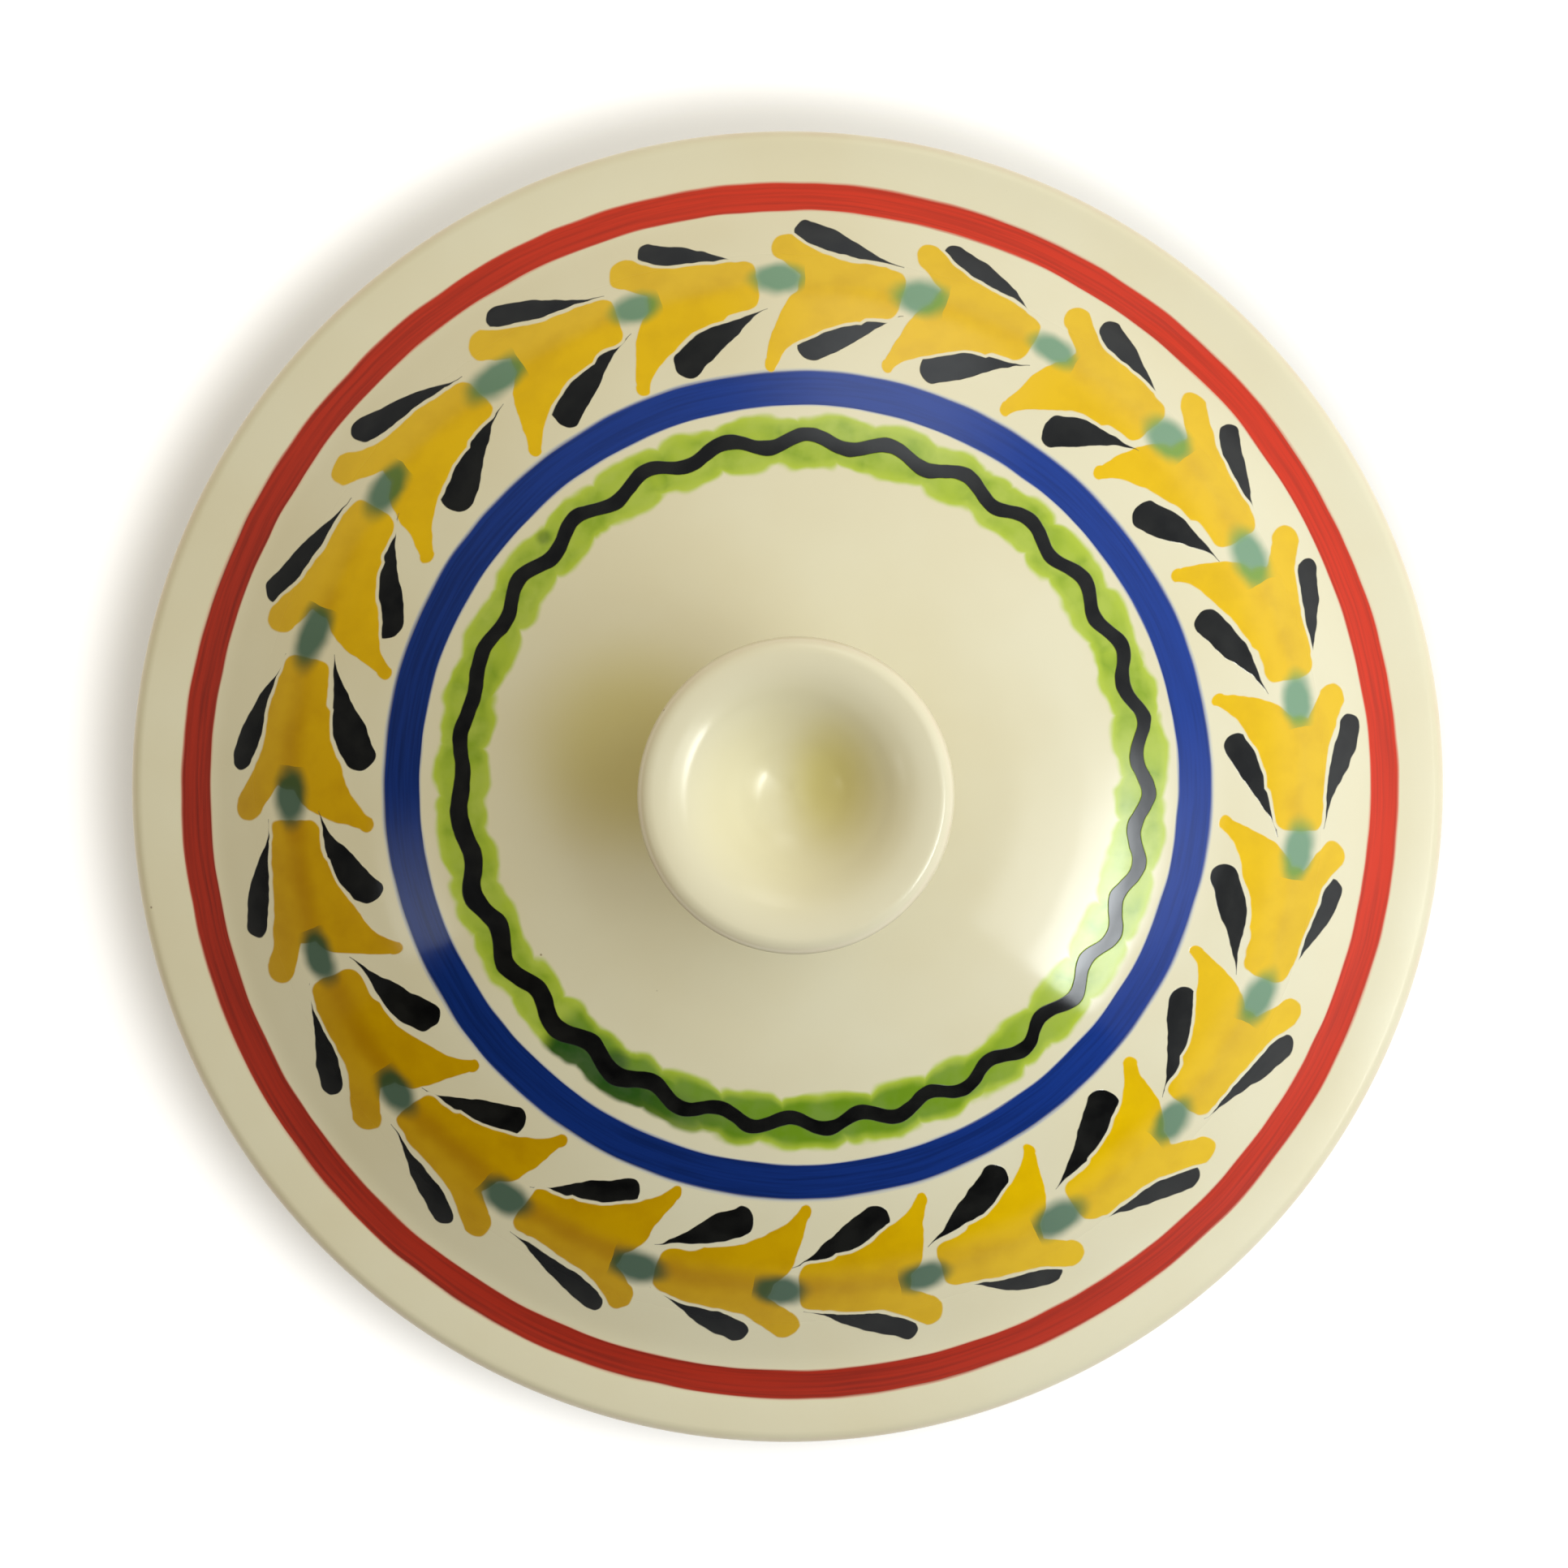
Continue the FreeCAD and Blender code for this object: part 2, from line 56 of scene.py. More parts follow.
def outline(*corners):
    """Points along a half-section, in mm. A corner is (r, z), or an arc (r, z, radius, first, last)."""
    path = []
    for r, z, *arc in corners:
        piece = [(r, z)]
        if arc:
            radius, first, last = arc
            sweep = abs(last - first)
            steps = ceil(max(radians(sweep) * radius / SPACING, sweep / ARC_STEP))
            turn = np.radians(np.linspace(first, last, steps + 1))
            piece = [(r + radius * cos(a), z + radius * sin(a)) for a in turn]
        if path:
            (r0, z0), (r1, z1) = path[-1], piece[0]
            gap = hypot(r1 - r0, z1 - z0)
            steps = int(gap / SPACING)
            path += [(r0 + (r1 - r0) * k / (steps + 1), z0 + (z1 - z0) * k / (steps + 1))
                     for k in range(1, steps + 1)]
            if gap < SAME_POINT:
                piece = piece[1:]
        path += piece
    return np.array(path)


def rise(value, start, full):
    """0 up to start, 1 from full on, and a straight rise between them."""
    return np.clip((value - start) / (full - start), 0, 1)


def hand_of_thrower(turn, run, pitch, ridges, sway):
    """How far a thrown wall lies under its true form, in mm.

    Finger ridges climb one pitch a turn. A slow sway goes two and three times round and drifts with
    the run along the section.
    """
    ridge = ridges * (1 + np.sin(2 * pi * run / pitch + turn))
    slow = sway * (2 + np.sin(2 * turn + 0.7 + run / 60) + np.sin(3 * turn + 2.4 - run / 45))
    return ridge + slow


def lay_out(mesh, run, widest, turn, upper_share):
    """Maps a turned mesh as two discs: one seen from above, one from below the widest ring."""
    rings = len(run) - 2
    discs = 2 * 2 ** 0.5 / (1 + 2 ** 0.5) - 4 * MAP_MARGIN
    upper, lower = discs * upper_share / 2, discs * (1 - upper_share) / 2
    corner_point = np.zeros(len(mesh.loops), int)
    mesh.loops.foreach_get("vertex_index", corner_point)
    point_ring = np.r_[np.repeat(np.arange(1, rings + 1), AROUND), 0, rings + 1]
    point_turn = np.r_[np.tile(turn, rings), 0, 0]
    face_ring = np.r_[np.repeat(np.arange(1, rings), AROUND), np.zeros(AROUND), np.full(AROUND, rings)]
    face_corners = np.r_[np.full((rings - 1) * AROUND, 4), np.full(2 * AROUND, 3)]
    above = np.repeat(face_ring, face_corners) >= widest
    travel, bearing = run[point_ring[corner_point]], point_turn[corner_point]
    out = np.where(above, (run[-1] - travel) / (run[-1] - run[widest]) * upper,
                   travel / run[widest] * lower)
    centre = np.where(above, MAP_MARGIN + upper, 1 - MAP_MARGIN - lower)
    flat = np.stack([centre + out * np.cos(bearing), centre + out * np.sin(bearing)], -1)
    mesh.uv_layers.new(name="OFBake").data.foreach_set("uv", flat.ravel())


def turned(name, path, materials, finish, uneven, body, node, upper_share):
    """A closed piece turned about Z from a half-section that runs out from the axis and back to it.

    finish gives the material of a place (r, z), uneven how far it lies under its true form, and
    upper_share how much of the map goes to the upper side.
    """
    steps = np.diff(path, axis=0)
    run = np.r_[0, np.cumsum(np.hypot(steps[:, 0], steps[:, 1]))]
    slope = np.gradient(path, axis=0)
    slope /= np.hypot(slope[:, 0], slope[:, 1])[:, None]
    turn = np.arange(AROUND) * 2 * pi / AROUND
    under = uneven(turn[None, :], path[:, :1], path[:, 1:], run[:, None]) * np.ones((1, AROUND))
    r = path[:, :1] - slope[:, 1:] * under
    z = path[:, 1:] + slope[:, :1] * under
    rings = len(path) - 2
    ring = np.stack([r[1:-1] * np.cos(turn), r[1:-1] * np.sin(turn), z[1:-1]], -1).reshape(-1, 3)
    places = np.vstack([ring, [0, 0, path[0, 1]], [0, 0, path[-1, 1]]]) * MM
    here = np.arange(AROUND)
    beside = (here + 1) % AROUND
    level = np.arange(rings - 1)[:, None] * AROUND
    quads = np.stack([level + here, level + beside, level + AROUND + beside, level + AROUND + here], -1)
    last = (rings - 1) * AROUND
    first_fan = [(len(ring), b, a) for a, b in zip(here.tolist(), beside.tolist())]
    last_fan = [(len(ring) + 1, last + a, last + b) for a, b in zip(here.tolist(), beside.tolist())]
    mesh = bpy.data.meshes.new(name)
    mesh.from_pydata(places.tolist(), [], quads.reshape(-1, 4).tolist() + first_fan + last_fan)
    for material in materials:
        mesh.materials.append(material)
    kinds = np.array([materials.index(finish(*place)) for place in (path[1:] + path[:-1]) / 2])
    mesh.polygons.foreach_set("material_index", np.r_[
        np.repeat(kinds[1:-1], AROUND), np.full(AROUND, kinds[0]), np.full(AROUND, kinds[-1])])
    mesh.polygons.foreach_set("use_smooth", np.ones(len(mesh.polygons), bool))
    lay_out(mesh, run, int(np.argmax(path[:, 0])), turn, upper_share)
    mesh.set_sharp_from_angle(angle=radians(SHARP_FROM))
    piece = bpy.data.objects.new(name, mesh)
    bpy.context.scene.collection.objects.link(piece)
    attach(piece, body)
    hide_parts(node)


def paint(code):
    """An sRGB hex colour as the linear colour that a shader takes."""
    parts = [int(code[k:k + 2], 16) / 255 for k in (1, 3, 5)]
    return (*(c / 12.92 if c <= 0.04045 else ((c + 0.055) / 1.055) ** 2.4 for c in parts), 1.0)


MAIN_SETTING = {"Math": "operation", "VectorMath": "operation", "Mix": "data_type",
                "MapRange": "interpolation_type", "TexWhiteNoise": "noise_dimensions"}


def add(tree, kind, *inputs, out=0, **settings):
    """Adds a node with its settings and links, and gives one output, or the whole node if out is None.

    A second word in kind is the node's main setting. The inputs go to the sockets in use, in order,
    or are one dict that names them.
    """
    kind, *word = kind.split()
    made = tree.nodes.new(kind if kind.startswith("NodeGroup") else "ShaderNode" + kind)
    if word:
        settings[MAIN_SETTING[kind]] = word[0]
    for name, value in settings.items():
        setattr(made, name, value)
    named = bool(inputs) and isinstance(inputs[0], dict)
    sockets = made.inputs if named else [socket for socket in made.inputs if socket.enabled]
    for place, value in inputs[0].items() if named else enumerate(inputs):
        if isinstance(value, bpy.types.NodeSocket):
            tree.links.new(value, sockets[place])
        else:
            sockets[place].default_value = value
    if out is None:
        return made
    return made.outputs[out] if isinstance(out, str) else [s for s in made.outputs if s.enabled][out]


def new_group(name, takes, gives):
    """An empty node group, the function that adds nodes to it, and its inputs by name."""
    tree = bpy.data.node_groups.new(name, "ShaderNodeTree")
    for side, sockets in (("INPUT", takes), ("OUTPUT", gives)):
        for socket, kind in sockets.items():
            tree.interface.new_socket(socket, in_out=side, socket_type="NodeSocket" + kind)
    return tree, partial(add, tree), add(tree, "NodeGroupInput", out=None).outputs


POTTERY_IOR = 1.52    # glaze and fired clay alike


def finish_surface(name, look):
    """A glazed or bare surface. Its look gives colour, roughness and height in mm."""
    material = bpy.data.materials.new(name)
    material.use_nodes = True
    tree = material.node_tree
    tree.nodes.clear()
    colour, roughness, height = look(partial(add, tree))
    bump = add(tree, "Bump", {"Strength": 1.0, "Distance": MM, "Height": height})
    surface = add(tree, "BsdfPrincipled", {"Base Color": colour, "Roughness": roughness,
                                           "IOR": POTTERY_IOR, "Normal": bump})
    add(tree, "OutputMaterial", {"Surface": surface}, out=None)
    return material


# A place in mm, how far out from the axis it lies, and how high above the table.
whereabouts, put, given = new_group("where", {}, {"Place": "Vector", "Out": "Float", "Level": "Float"})
place = put("VectorMath SCALE", put("TexCoord", out="Object"), 1 / MM)
flat = put("VectorMath MULTIPLY", place, (1.0, 1.0, 0.0))
put("NodeGroupOutput", place, put("VectorMath LENGTH", flat), put("SeparateXYZ", place, out="Z"),
    out=None)

# Cream glaze: opaque and glassy over buff clay, a warm white that mirrors the room softly. It turns
# a little yellower where it pools and where shade is painted into it, breaks to the warm clay where it
# runs thin over an edge, and holds a few iron specks.
GLAZE_PALE, GLAZE_DEEP, GLAZE_POOLED_AND_SHADED = paint("#E9E2C3"), paint("#E6DDBB"), paint("#DACD82")
GLAZE_THIN, IRON_SPECK = paint("#D8B596"), paint("#8C7350")
GLAZE_ROUGHNESS = 0.06, 0.10
MOTTLE, BREAK, ORANGE_PEEL, SWELL = 38.0, 9.0, 3.5, 22.0      # mm across one patch of each
PEEL_HEIGHT, SWELL_HEIGHT = 0.006, 0.10                       # mm
SPECK, SPECK_GAP = 0.30, 11.0                                 # mm, a speck's radius and its cell
SPECK_SHARE, SPECK_DEPTH = 0.28, 0.75                         # of the cells, of the iron's colour

glaze, put, given = new_group("cream glaze", {"Thin": "Float", "Pooled and shaded": "Float"},
                              {"Colour": "Color", "Roughness": "Float", "Height": "Float"})
place = put("Group", out="Place", node_tree=whereabouts)
mottle = put("TexNoise", place, 1 / MOTTLE, 3.0)
ground = put("Mix RGBA", put("MapRange", mottle, 0.35, 0.65), GLAZE_PALE, GLAZE_DEEP)
ground = put("Mix RGBA", given["Pooled and shaded"], ground, GLAZE_POOLED_AND_SHADED)
broken = put("TexNoise", place, 1 / BREAK, 4.0)
thin = put("Math MULTIPLY", given["Thin"], put("MapRange", broken, 0.35, 0.65, 0.35, 1.0))
ground = put("Mix RGBA", thin, ground, GLAZE_THIN)
cells = put("TexVoronoi", place, 1 / SPECK_GAP, out=None).outputs
speck = put("MapRange", cells["Distance"], SPECK / SPECK_GAP, 0.4 * SPECK / SPECK_GAP, 0.0, SPECK_DEPTH)
some = put("Math GREATER_THAN", put("SeparateColor", cells["Color"]), 1 - SPECK_SHARE)
ground = put("Mix RGBA", put("Math MULTIPLY", speck, some), ground, IRON_SPECK)
peel = put("TexNoise", place, 1 / ORANGE_PEEL, 1.0)
swell = put("TexNoise", place, 1 / SWELL, 1.0)
height = put("Math MULTIPLY_ADD", peel, PEEL_HEIGHT, put("Math MULTIPLY", swell, SWELL_HEIGHT))
put("NodeGroupOutput", ground, put("MapRange", broken, 0.3, 0.7, *GLAZE_ROUGHNESS), height, out=None)


def plain_glaze(put):
    """Cream glaze with nothing on it."""
    return put("Group", 0.0, 0.0, out=None, node_tree=glaze).outputs


# Bare clay: the fired body where the glaze was wiped off. Matt and sandy, so it mirrors nothing. The
# sand and the turning tool's rings are drawn coarser than they are, so that they show.
CLAY, CLAY_DARK = paint("#C79A7B"), paint("#A97A5C")
CLAY_ROUGHNESS = 0.72, 0.92
CLAY_GRAIN, CLAY_PATCH, TOOL_PITCH = 0.9, 14.0, 1.1           # mm across one of each
GRAIN_HEIGHT, TOOL_MARK = 0.12, 0.03                          # mm


def bare_clay_look(put):
    """Matt sandy clay with fine rings cut by the turning tool."""
    here = put("Group", out=None, node_tree=whereabouts).outputs
    grain = put("TexNoise", here["Place"], 1 / CLAY_GRAIN, 4.0)
    patches = put("TexNoise", here["Place"], 1 / CLAY_PATCH, 3.0)
    both = put("Math MULTIPLY_ADD", grain, 0.5, put("Math MULTIPLY", patches, 0.5))
    colour = put("Mix RGBA", put("MapRange", both, 0.38, 0.62), CLAY, CLAY_DARK)
    ring = put("Math SINE", put("Math MULTIPLY", here["Out"], 2 * pi / TOOL_PITCH))
    height = put("Math MULTIPLY_ADD", ring, TOOL_MARK, put("Math MULTIPLY", grain, GRAIN_HEIGHT))
    return colour, put("MapRange", grain, 0.3, 0.7, *CLAY_ROUGHNESS), height


# Red and blue stain, brushed on the raw glaze. It melts in, so it shines as the glaze does and its
# edges are soft. Each has its bright colour, its dark one for the brush's streaks and, on the lid, for
# painted shade on the side away from the lamps, and its thin fringe.
RED = paint("#D6300E"), paint("#8A1A06"), paint("#DB8A68")
BLUE = paint("#193C94"), paint("#0E2662"), paint("#7F98C8")
DISH_BANDS = (33.0, 37.0, RED), (22.0, 28.0, BLUE)            # lower and upper edge, mm
BAND_SOFT, BAND_SWAY, BAND_SWAY_LENGTH = 0.6, 1.6, 25.0       # mm
BRUSH_HAIRS = 0.06, 0.06, 1.6                                 # streaks to the mm, along and up


def banded_glaze(put):
    """The dish's outside: cream glaze with a red band over a blue one."""
    made = plain_glaze(put)
    here = put("Group", out=None, node_tree=whereabouts).outputs
    sway = put("TexNoise", here["Place"], 1 / BAND_SWAY_LENGTH, 4.0)
    level = put("Math MULTIPLY_ADD", sway, BAND_SWAY, here["Level"])
    hairs = put("TexNoise", put("VectorMath MULTIPLY", here["Place"], BRUSH_HAIRS), 1.0, 4.0)
    streak = put("MapRange", hairs, 0.4, 0.65)
    colour = made["Colour"]
    for low, high, (bright, dark, fringe) in DISH_BANDS:
        cover = put("Math MULTIPLY", put("MapRange", level, low, low + BAND_SOFT),
                    put("MapRange", level, high, high - BAND_SOFT))
        band = put("Mix RGBA", streak, bright, dark)
        band = put("Mix RGBA", put("MapRange", cover, 0.3, 1.0), fringe, band)
        colour = put("Mix RGBA", cover, colour, band)
    return colour, made["Roughness"], made["Height"]


cream = finish_surface("cream glaze, dipped", plain_glaze)
bare_clay = finish_surface("bare fired clay, turned", bare_clay_look)
banded = finish_surface("cream glaze with brushed bands", banded_glaze)

# The underside, heel, wall and rim outside, then the mouth, the wall and the floor inside.
UNDERSIDE, FLOOR, RIM_EDGE, SEAT = 6.0, 13.0, 47.2, 50.0     # mm above the table
FOOT_REACH, MOUTH, WALL_LEAN = 76.0, 106.7, 4                # mm from the axis, and degrees
WIPED = 0.05          # mm: faces this near the seat or the underside are wiped
dish_path = outline(
    (0, UNDERSIDE), (81.593, 36, 30, 270, 356), (115.938, 39.751, 4, 176, 102),
    (118.75, 47.25, 2.75, -78, 90), (108.495, 48, 2, 90, 176), (81.662, 37, 24, -4, -90), (0, FLOOR))


def dish_finish(r, z):
    """Bare on the seat and under the foot ring, banded outside, plain cream inside and on the rim."""
    if z > SEAT - WIPED or z < UNDERSIDE + WIPED and r < FOOT_REACH:
        return bare_clay
    inside = z > FLOOR - 0.1 and r < MOUTH + (z - SEAT) * tan(radians(WALL_LEAN))
    return cream if inside or z > RIM_EDGE else banded


def dish_uneven(turn, r, z, run):
    """The walls sway a little, and the seat, the rim and the underside are true."""
    free = rise(z, 9, 15) * rise(z, 45, 39)
    return free * hand_of_thrower(turn, run, pitch=8.0, ridges=0.05, sway=0.05)


turned("dish", dish_path, [cream, banded, bare_clay], dish_finish, dish_uneven,
       "dish", "dish_bowl", upper_share=0.5)

# ---------------------------------------------------------------------------
# Foot ring. Turned from the leather-hard clay under the dish and left bare, so
# that the dish stands on the kiln shelf without sticking to it.
# ---------------------------------------------------------------------------
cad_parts["dish_foot_ring"].material_slots[0].material = bare_clay

# ---------------------------------------------------------------------------
# Lid. Thrown upside down as a shallow bowl, turned, glazed cream and painted on
# the wheel: a red band, a garland of yellow bells, a blue band, and a black wavy
# line over green dabs. The edge that rests on the dish is wiped bare.
# ---------------------------------------------------------------------------
# How far a place lies from a centre, and on which bearing, in degrees from +X and as a direction.
around, put, given = new_group("round a centre", {"Point": "Vector", "Centre": "Vector"},
                               {"Radius": "Float", "Degrees": "Float", "Bearing": "Vector"})
flat = put("VectorMath MULTIPLY", put("VectorMath SUBTRACT", given["Point"], given["Centre"]),
           (1.0, 1.0, 0.0))
split = put("SeparateXYZ", flat, out=None).outputs
put("NodeGroupOutput", put("VectorMath LENGTH", flat),
    put("Math DEGREES", put("Math ARCTAN2", split["Y"], split["X"])),
    put("VectorMath NORMALIZE", flat), out=None)

# One touch of a loaded brush: it starts at one width, swells or tapers to another, and may bow.
touch, put, given = new_group(
    "brush stroke", {"Point": "Vector", "Start": "Vector", "End": "Vector", "Start radius": "Float",
                     "End radius": "Float", "Bow": "Float", "Swell from": "Float", "Swell to": "Float"},
    {"Distance": "Float"})
reach = put("VectorMath SUBTRACT", given["Point"], given["Start"])
stroke = put("VectorMath SUBTRACT", given["End"], given["Start"])
along = put("Math DIVIDE", put("VectorMath DOT_PRODUCT", reach, stroke),
            put("VectorMath DOT_PRODUCT", stroke, stroke), use_clamp=True)
side = put("VectorMath NORMALIZE", put("VectorMath CROSS_PRODUCT", (0.0, 0.0, 1.0), stroke))
arch = put("Math MULTIPLY", along, put("Math SUBTRACT", 1.0, along))
arch = put("Math MULTIPLY", arch, put("Math MULTIPLY", given["Bow"], 4.0))
spine = put("VectorMath SCALE", stroke, along)
spine = put("VectorMath ADD", spine, put("VectorMath SCALE", side, arch))
half = put("MapRange SMOOTHSTEP", along, given["Swell from"], given["Swell to"],
           given["Start radius"], given["End radius"])
put("NodeGroupOutput", put("Math SUBTRACT", put("VectorMath DISTANCE", reach, spine), half), out=None)

# One bell of the garland with its two leaves, in mm from the middle of the calyx: along the ring the
# way the bells open, and outwards. Start, end, start radius, end radius, bow, swell from, swell to.
OUTER_PETAL = ((9.8, 0.2), (28.2, 7.3), 4.55, 2.8, -1.7, 0.0, 0.85)
INNER_PETAL = ((15.0, -2.75), (32.4, -14.9), 4.9, 1.5, 3.0, 0.4, 1.05)
THROAT = ((7.0, -0.7), (20.2, -1.0), 4.9, 5.9, 0.0, 0.0, 1.0)
OUTER_LEAF = ((4.6, 4.1), (22.6, 9.6), 0.05, 2.05, -0.4, 0.0, 0.82)
INNER_LEAF = ((2.6, -5.1), (20.8, -12.8), 0.05, 3.05, 0.2, 0.0, 0.82)
BASE, BASE_CORNER = 3.9, 2.2          # where the bell begins, and how round its corners are
RUN_TOGETHER = 0.7                    # how far the bell's three strokes melt into each other
CALYX_HALF_LENGTH, CALYX_HALF_WIDTH = 5.7, 3.1
LEAF_GAP = 0.55                       # bare glaze that the painter leaves between a leaf and its bell
# What varies from bell to bell: its length, its tilt and its place outwards, then the length and the
# place of its leaves, and the size of its calyx.
BY_HAND = (0.95, 1.05), (-0.035, 0.035), (-0.5, 0.5), (0.93, 1.09), (-0.45, 0.35), (0.92, 1.12)
SECOND_DRAW = 40.5                    # added to a bell's number for its last three chances

motif, put, given = new_group("bell and leaves", {"Place": "Vector", "Number": "Float"},
                              {"Bell": "Float", "Calyx": "Float", "Leaf": "Float", "Side": "Float"})
drawn_again = put("Math ADD", given["Number"], SECOND_DRAW)
chances = [chance for number in (given["Number"], drawn_again)
           for chance in put("SeparateColor", put("TexWhiteNoise 1D", number, out="Color"),
                             out=None).outputs]
length, tilt, shift, leaf_length, leaf_shift, calyx_size = (
    put("MapRange", chance, 0.0, 1.0, *limits) for chance, limits in zip(chances, BY_HAND))
where = put("SeparateXYZ", given["Place"], out=None).outputs
tilted = put("Math MULTIPLY_ADD", where["X"], tilt, where["Y"])
outwards = put("Math ADD", tilted, shift)
on_bell = put("CombineXYZ", put("Math MULTIPLY", where["X"], length), outwards, 0.0)
on_leaf = put("CombineXYZ", put("Math MULTIPLY", where["X"], leaf_length),
              put("Math ADD", tilted, leaf_shift), 0.0)
outer_petal, inner_petal, throat, outer_leaf, inner_leaf = (
    put("Group", at, (*start, 0.0), (*end, 0.0), *rest, node_tree=touch)
    for at, (start, end, *rest) in ((on_bell, OUTER_PETAL), (on_bell, INNER_PETAL), (on_bell, THROAT),
                                    (on_leaf, OUTER_LEAF), (on_leaf, INNER_LEAF)))
bell = put("Math SMOOTH_MIN", outer_petal, throat, RUN_TOGETHER)
bell = put("Math SMOOTH_MIN", bell, inner_petal, RUN_TOGETHER)
before_base = put("Math SUBTRACT", BASE, put("SeparateXYZ", on_bell, out="X"))
bell = put("Math SMOOTH_MAX", bell, before_base, BASE_CORNER)
calyx = put("VectorMath MULTIPLY", on_bell, (1 / CALYX_HALF_LENGTH, 1 / CALYX_HALF_WIDTH, 0.0))
calyx = put("Math DIVIDE", put("VectorMath LENGTH", calyx), calyx_size)
leaf = put("Math MAXIMUM", put("Math MINIMUM", outer_leaf, inner_leaf),
           put("Math SUBTRACT", LEAF_GAP, bell))
put("NodeGroupOutput", bell, calyx, leaf, outwards, out=None)

# The painter's other colours. Yellow and green are stains like the red and the blue: paler where the
# brush runs dry, darker where a wet stroke lies thick. The calyxes are green over yellow, bluer where
# they lie on the bare glaze. On the side away from the lamps the dark yellow and the darker calyx
# greens paint shade on the lid. Black is a slip, so it is dense and stands up a little.
BLACK, BLACK_THIN = paint("#0C0C0C"), paint("#1D1D1B")
YELLOW, YELLOW_PALE, YELLOW_CORE_AND_SHADE = paint("#F2C600"), paint("#EFC520"), paint("#B07C00")
CALYX, CALYX_SHADED = paint("#6C9A7A"), paint("#2C5646")
CALYX_ON_YELLOW, CALYX_ON_YELLOW_SHADED = paint("#6F9F45"), paint("#1E4A30")
GREEN, GREEN_RICH, GREEN_DARK = paint("#BACD42"), paint("#669018"), paint("#244F1C")
PAINT_PATCH = 6.25                    # mm across a patch of thinner paint
SLIP_HEIGHT, YELLOW_HEIGHT = 0.05, 0.02     # mm
WAVER, TREMOR = 12.5, 10 / 3          # mm: how long the slow and the quick sway of a hand are
BAND_WAVER, BELL_WAVER, BELL_TREMOR = 0.7, 2.2, 0.8     # mm: how wide they are


def toward(put, turn, bearing, times=1):
    """1 on a bearing and -1 opposite it, or so many times round. Bearings are degrees from +X."""
    return put("Math COSINE", put("Math MULTIPLY_ADD", turn, radians(times), -radians(bearing)))


def swayed(put, at, place, sway, width):
    """A place moved as an unsteady hand would: how long the sway is and how wide, in mm."""
    aside = put("TexNoise", at, 1 / sway, 1.0, out="Color")
    aside = put("VectorMath SUBTRACT", aside, (0.5, 0.5, 0.5))
    return put("VectorMath MULTIPLY_ADD", aside, (width, width, 0.0), place)


# A band's inner and outer edge: the centre it was drawn round, its radius and how far it fades, in mm.
RED_BAND = ((0.39, -0.60, 0.0), 109.90, 0.30), ((0.36, -0.70, 0.0), 115.78, 0.60), RED
BLUE_BAND = ((1.50, 1.05, 0.0), 70.45, 0.30), ((1.25, 0.92, 0.0), 77.60, 0.85), BLUE
STREAKS_ROUND, STREAKS_OUT = 4.0, 1.7       # to the turn's radian, and to the mm across the band
RAGGED = 0.12                               # mm that single hairs of the brush stray


def brushed_band(put, ground, at, painted_shade, inner, outer, stain):
    """A band laid with a wide brush as the wheel turns, so its streaks run round."""
    (inner_centre, inner_radius, inner_soft), (outer_centre, outer_radius, outer_soft) = inner, outer
    bright, dark, fringe = stain
    start = put("Group", at, inner_centre, out=None, node_tree=around).outputs
    stop = put("Group", at, outer_centre, out=None, node_tree=around).outputs
    hairs = put("VectorMath ADD", put("VectorMath SCALE", start["Bearing"], STREAKS_ROUND),
                put("CombineXYZ", 0.0, 0.0, put("Math MULTIPLY", start["Radius"], STREAKS_OUT)))
    hairs = put("TexNoise", hairs, 1.0, 3.0)
    ragged = put("MapRange", hairs, 0.3, 0.7, -RAGGED, RAGGED)
    cover = put("Math MULTIPLY",
                put("MapRange SMOOTHSTEP", put("Math ADD", start["Radius"], ragged),
                    inner_radius - inner_soft, inner_radius + inner_soft),
                put("MapRange SMOOTHSTEP", put("Math ADD", stop["Radius"], ragged),
                    outer_radius + outer_soft * 0.3, outer_radius - outer_soft))
    streak = put("MapRange SMOOTHSTEP", hairs, 0.35, 0.75, 0.0, 0.4)
    # Darker in its streaks, and on the side away from the lamps as painted shade.
    band = put("Mix RGBA", put("Math MULTIPLY_ADD", painted_shade, 0.6, streak), bright, dark)
    band = put("Mix RGBA", put("MapRange SMOOTHSTEP", cover, 0.25, 0.95), fringe, band)
    return put("Mix RGBA", cover, ground, band)


# The ring of green dabs, and the wavy line on it. Sizes are mm.
WAVE_CENTRE, WAVE_RADIUS, WAVES, WAVE_HEIGHT = (1.90, 1.72, 0.0), 63.25, 28, 1.15
LINE_HALF, LINE_HALF_LOADED, LINE_SOFT = 1.42, 1.87, 0.14
EDGE_WAVER, EDGE_WAVER_WIDTH = 4.0, 0.14
DABS, DAB_STRAY = 31, 10.0                  # how many, and over what length their spacing strays
DABS_OUT, DABS_IN = (4.0, 1.3), (-4.3, -1.4)     # where the ring ends, and how far dabs bulge past it
DAB_SOFT, PALE_EDGE = (-0.55, 0.65), 2.2
BEGUN_AT = -136.5, -133.0                   # degrees from +X: the edge of the first dab
POOLED_AT = -92.0, -122.0                   # where its paint begins to pool, and where it is full
RICH_AT, RICH, RICH_OVERLAP, RICH_LEAST = -100, 0.72, 0.40, 0.20     # bearing, then shares
DROPS = ((-33.0, -50.5, 0.0), 4.2, 0.8), ((-45.9, 47.0, 0.0), 2.0, 0.45)    # place, radius, depth
PACE_AT, PACE, WAVE_AT = 215, -2.2, 46      # bearing and radians of the uneven pace, and the start
CALM_AT, CALM_SHARE, LOADED_AT = 172, 0.4, -146     # where the waves are low, where the line is wide


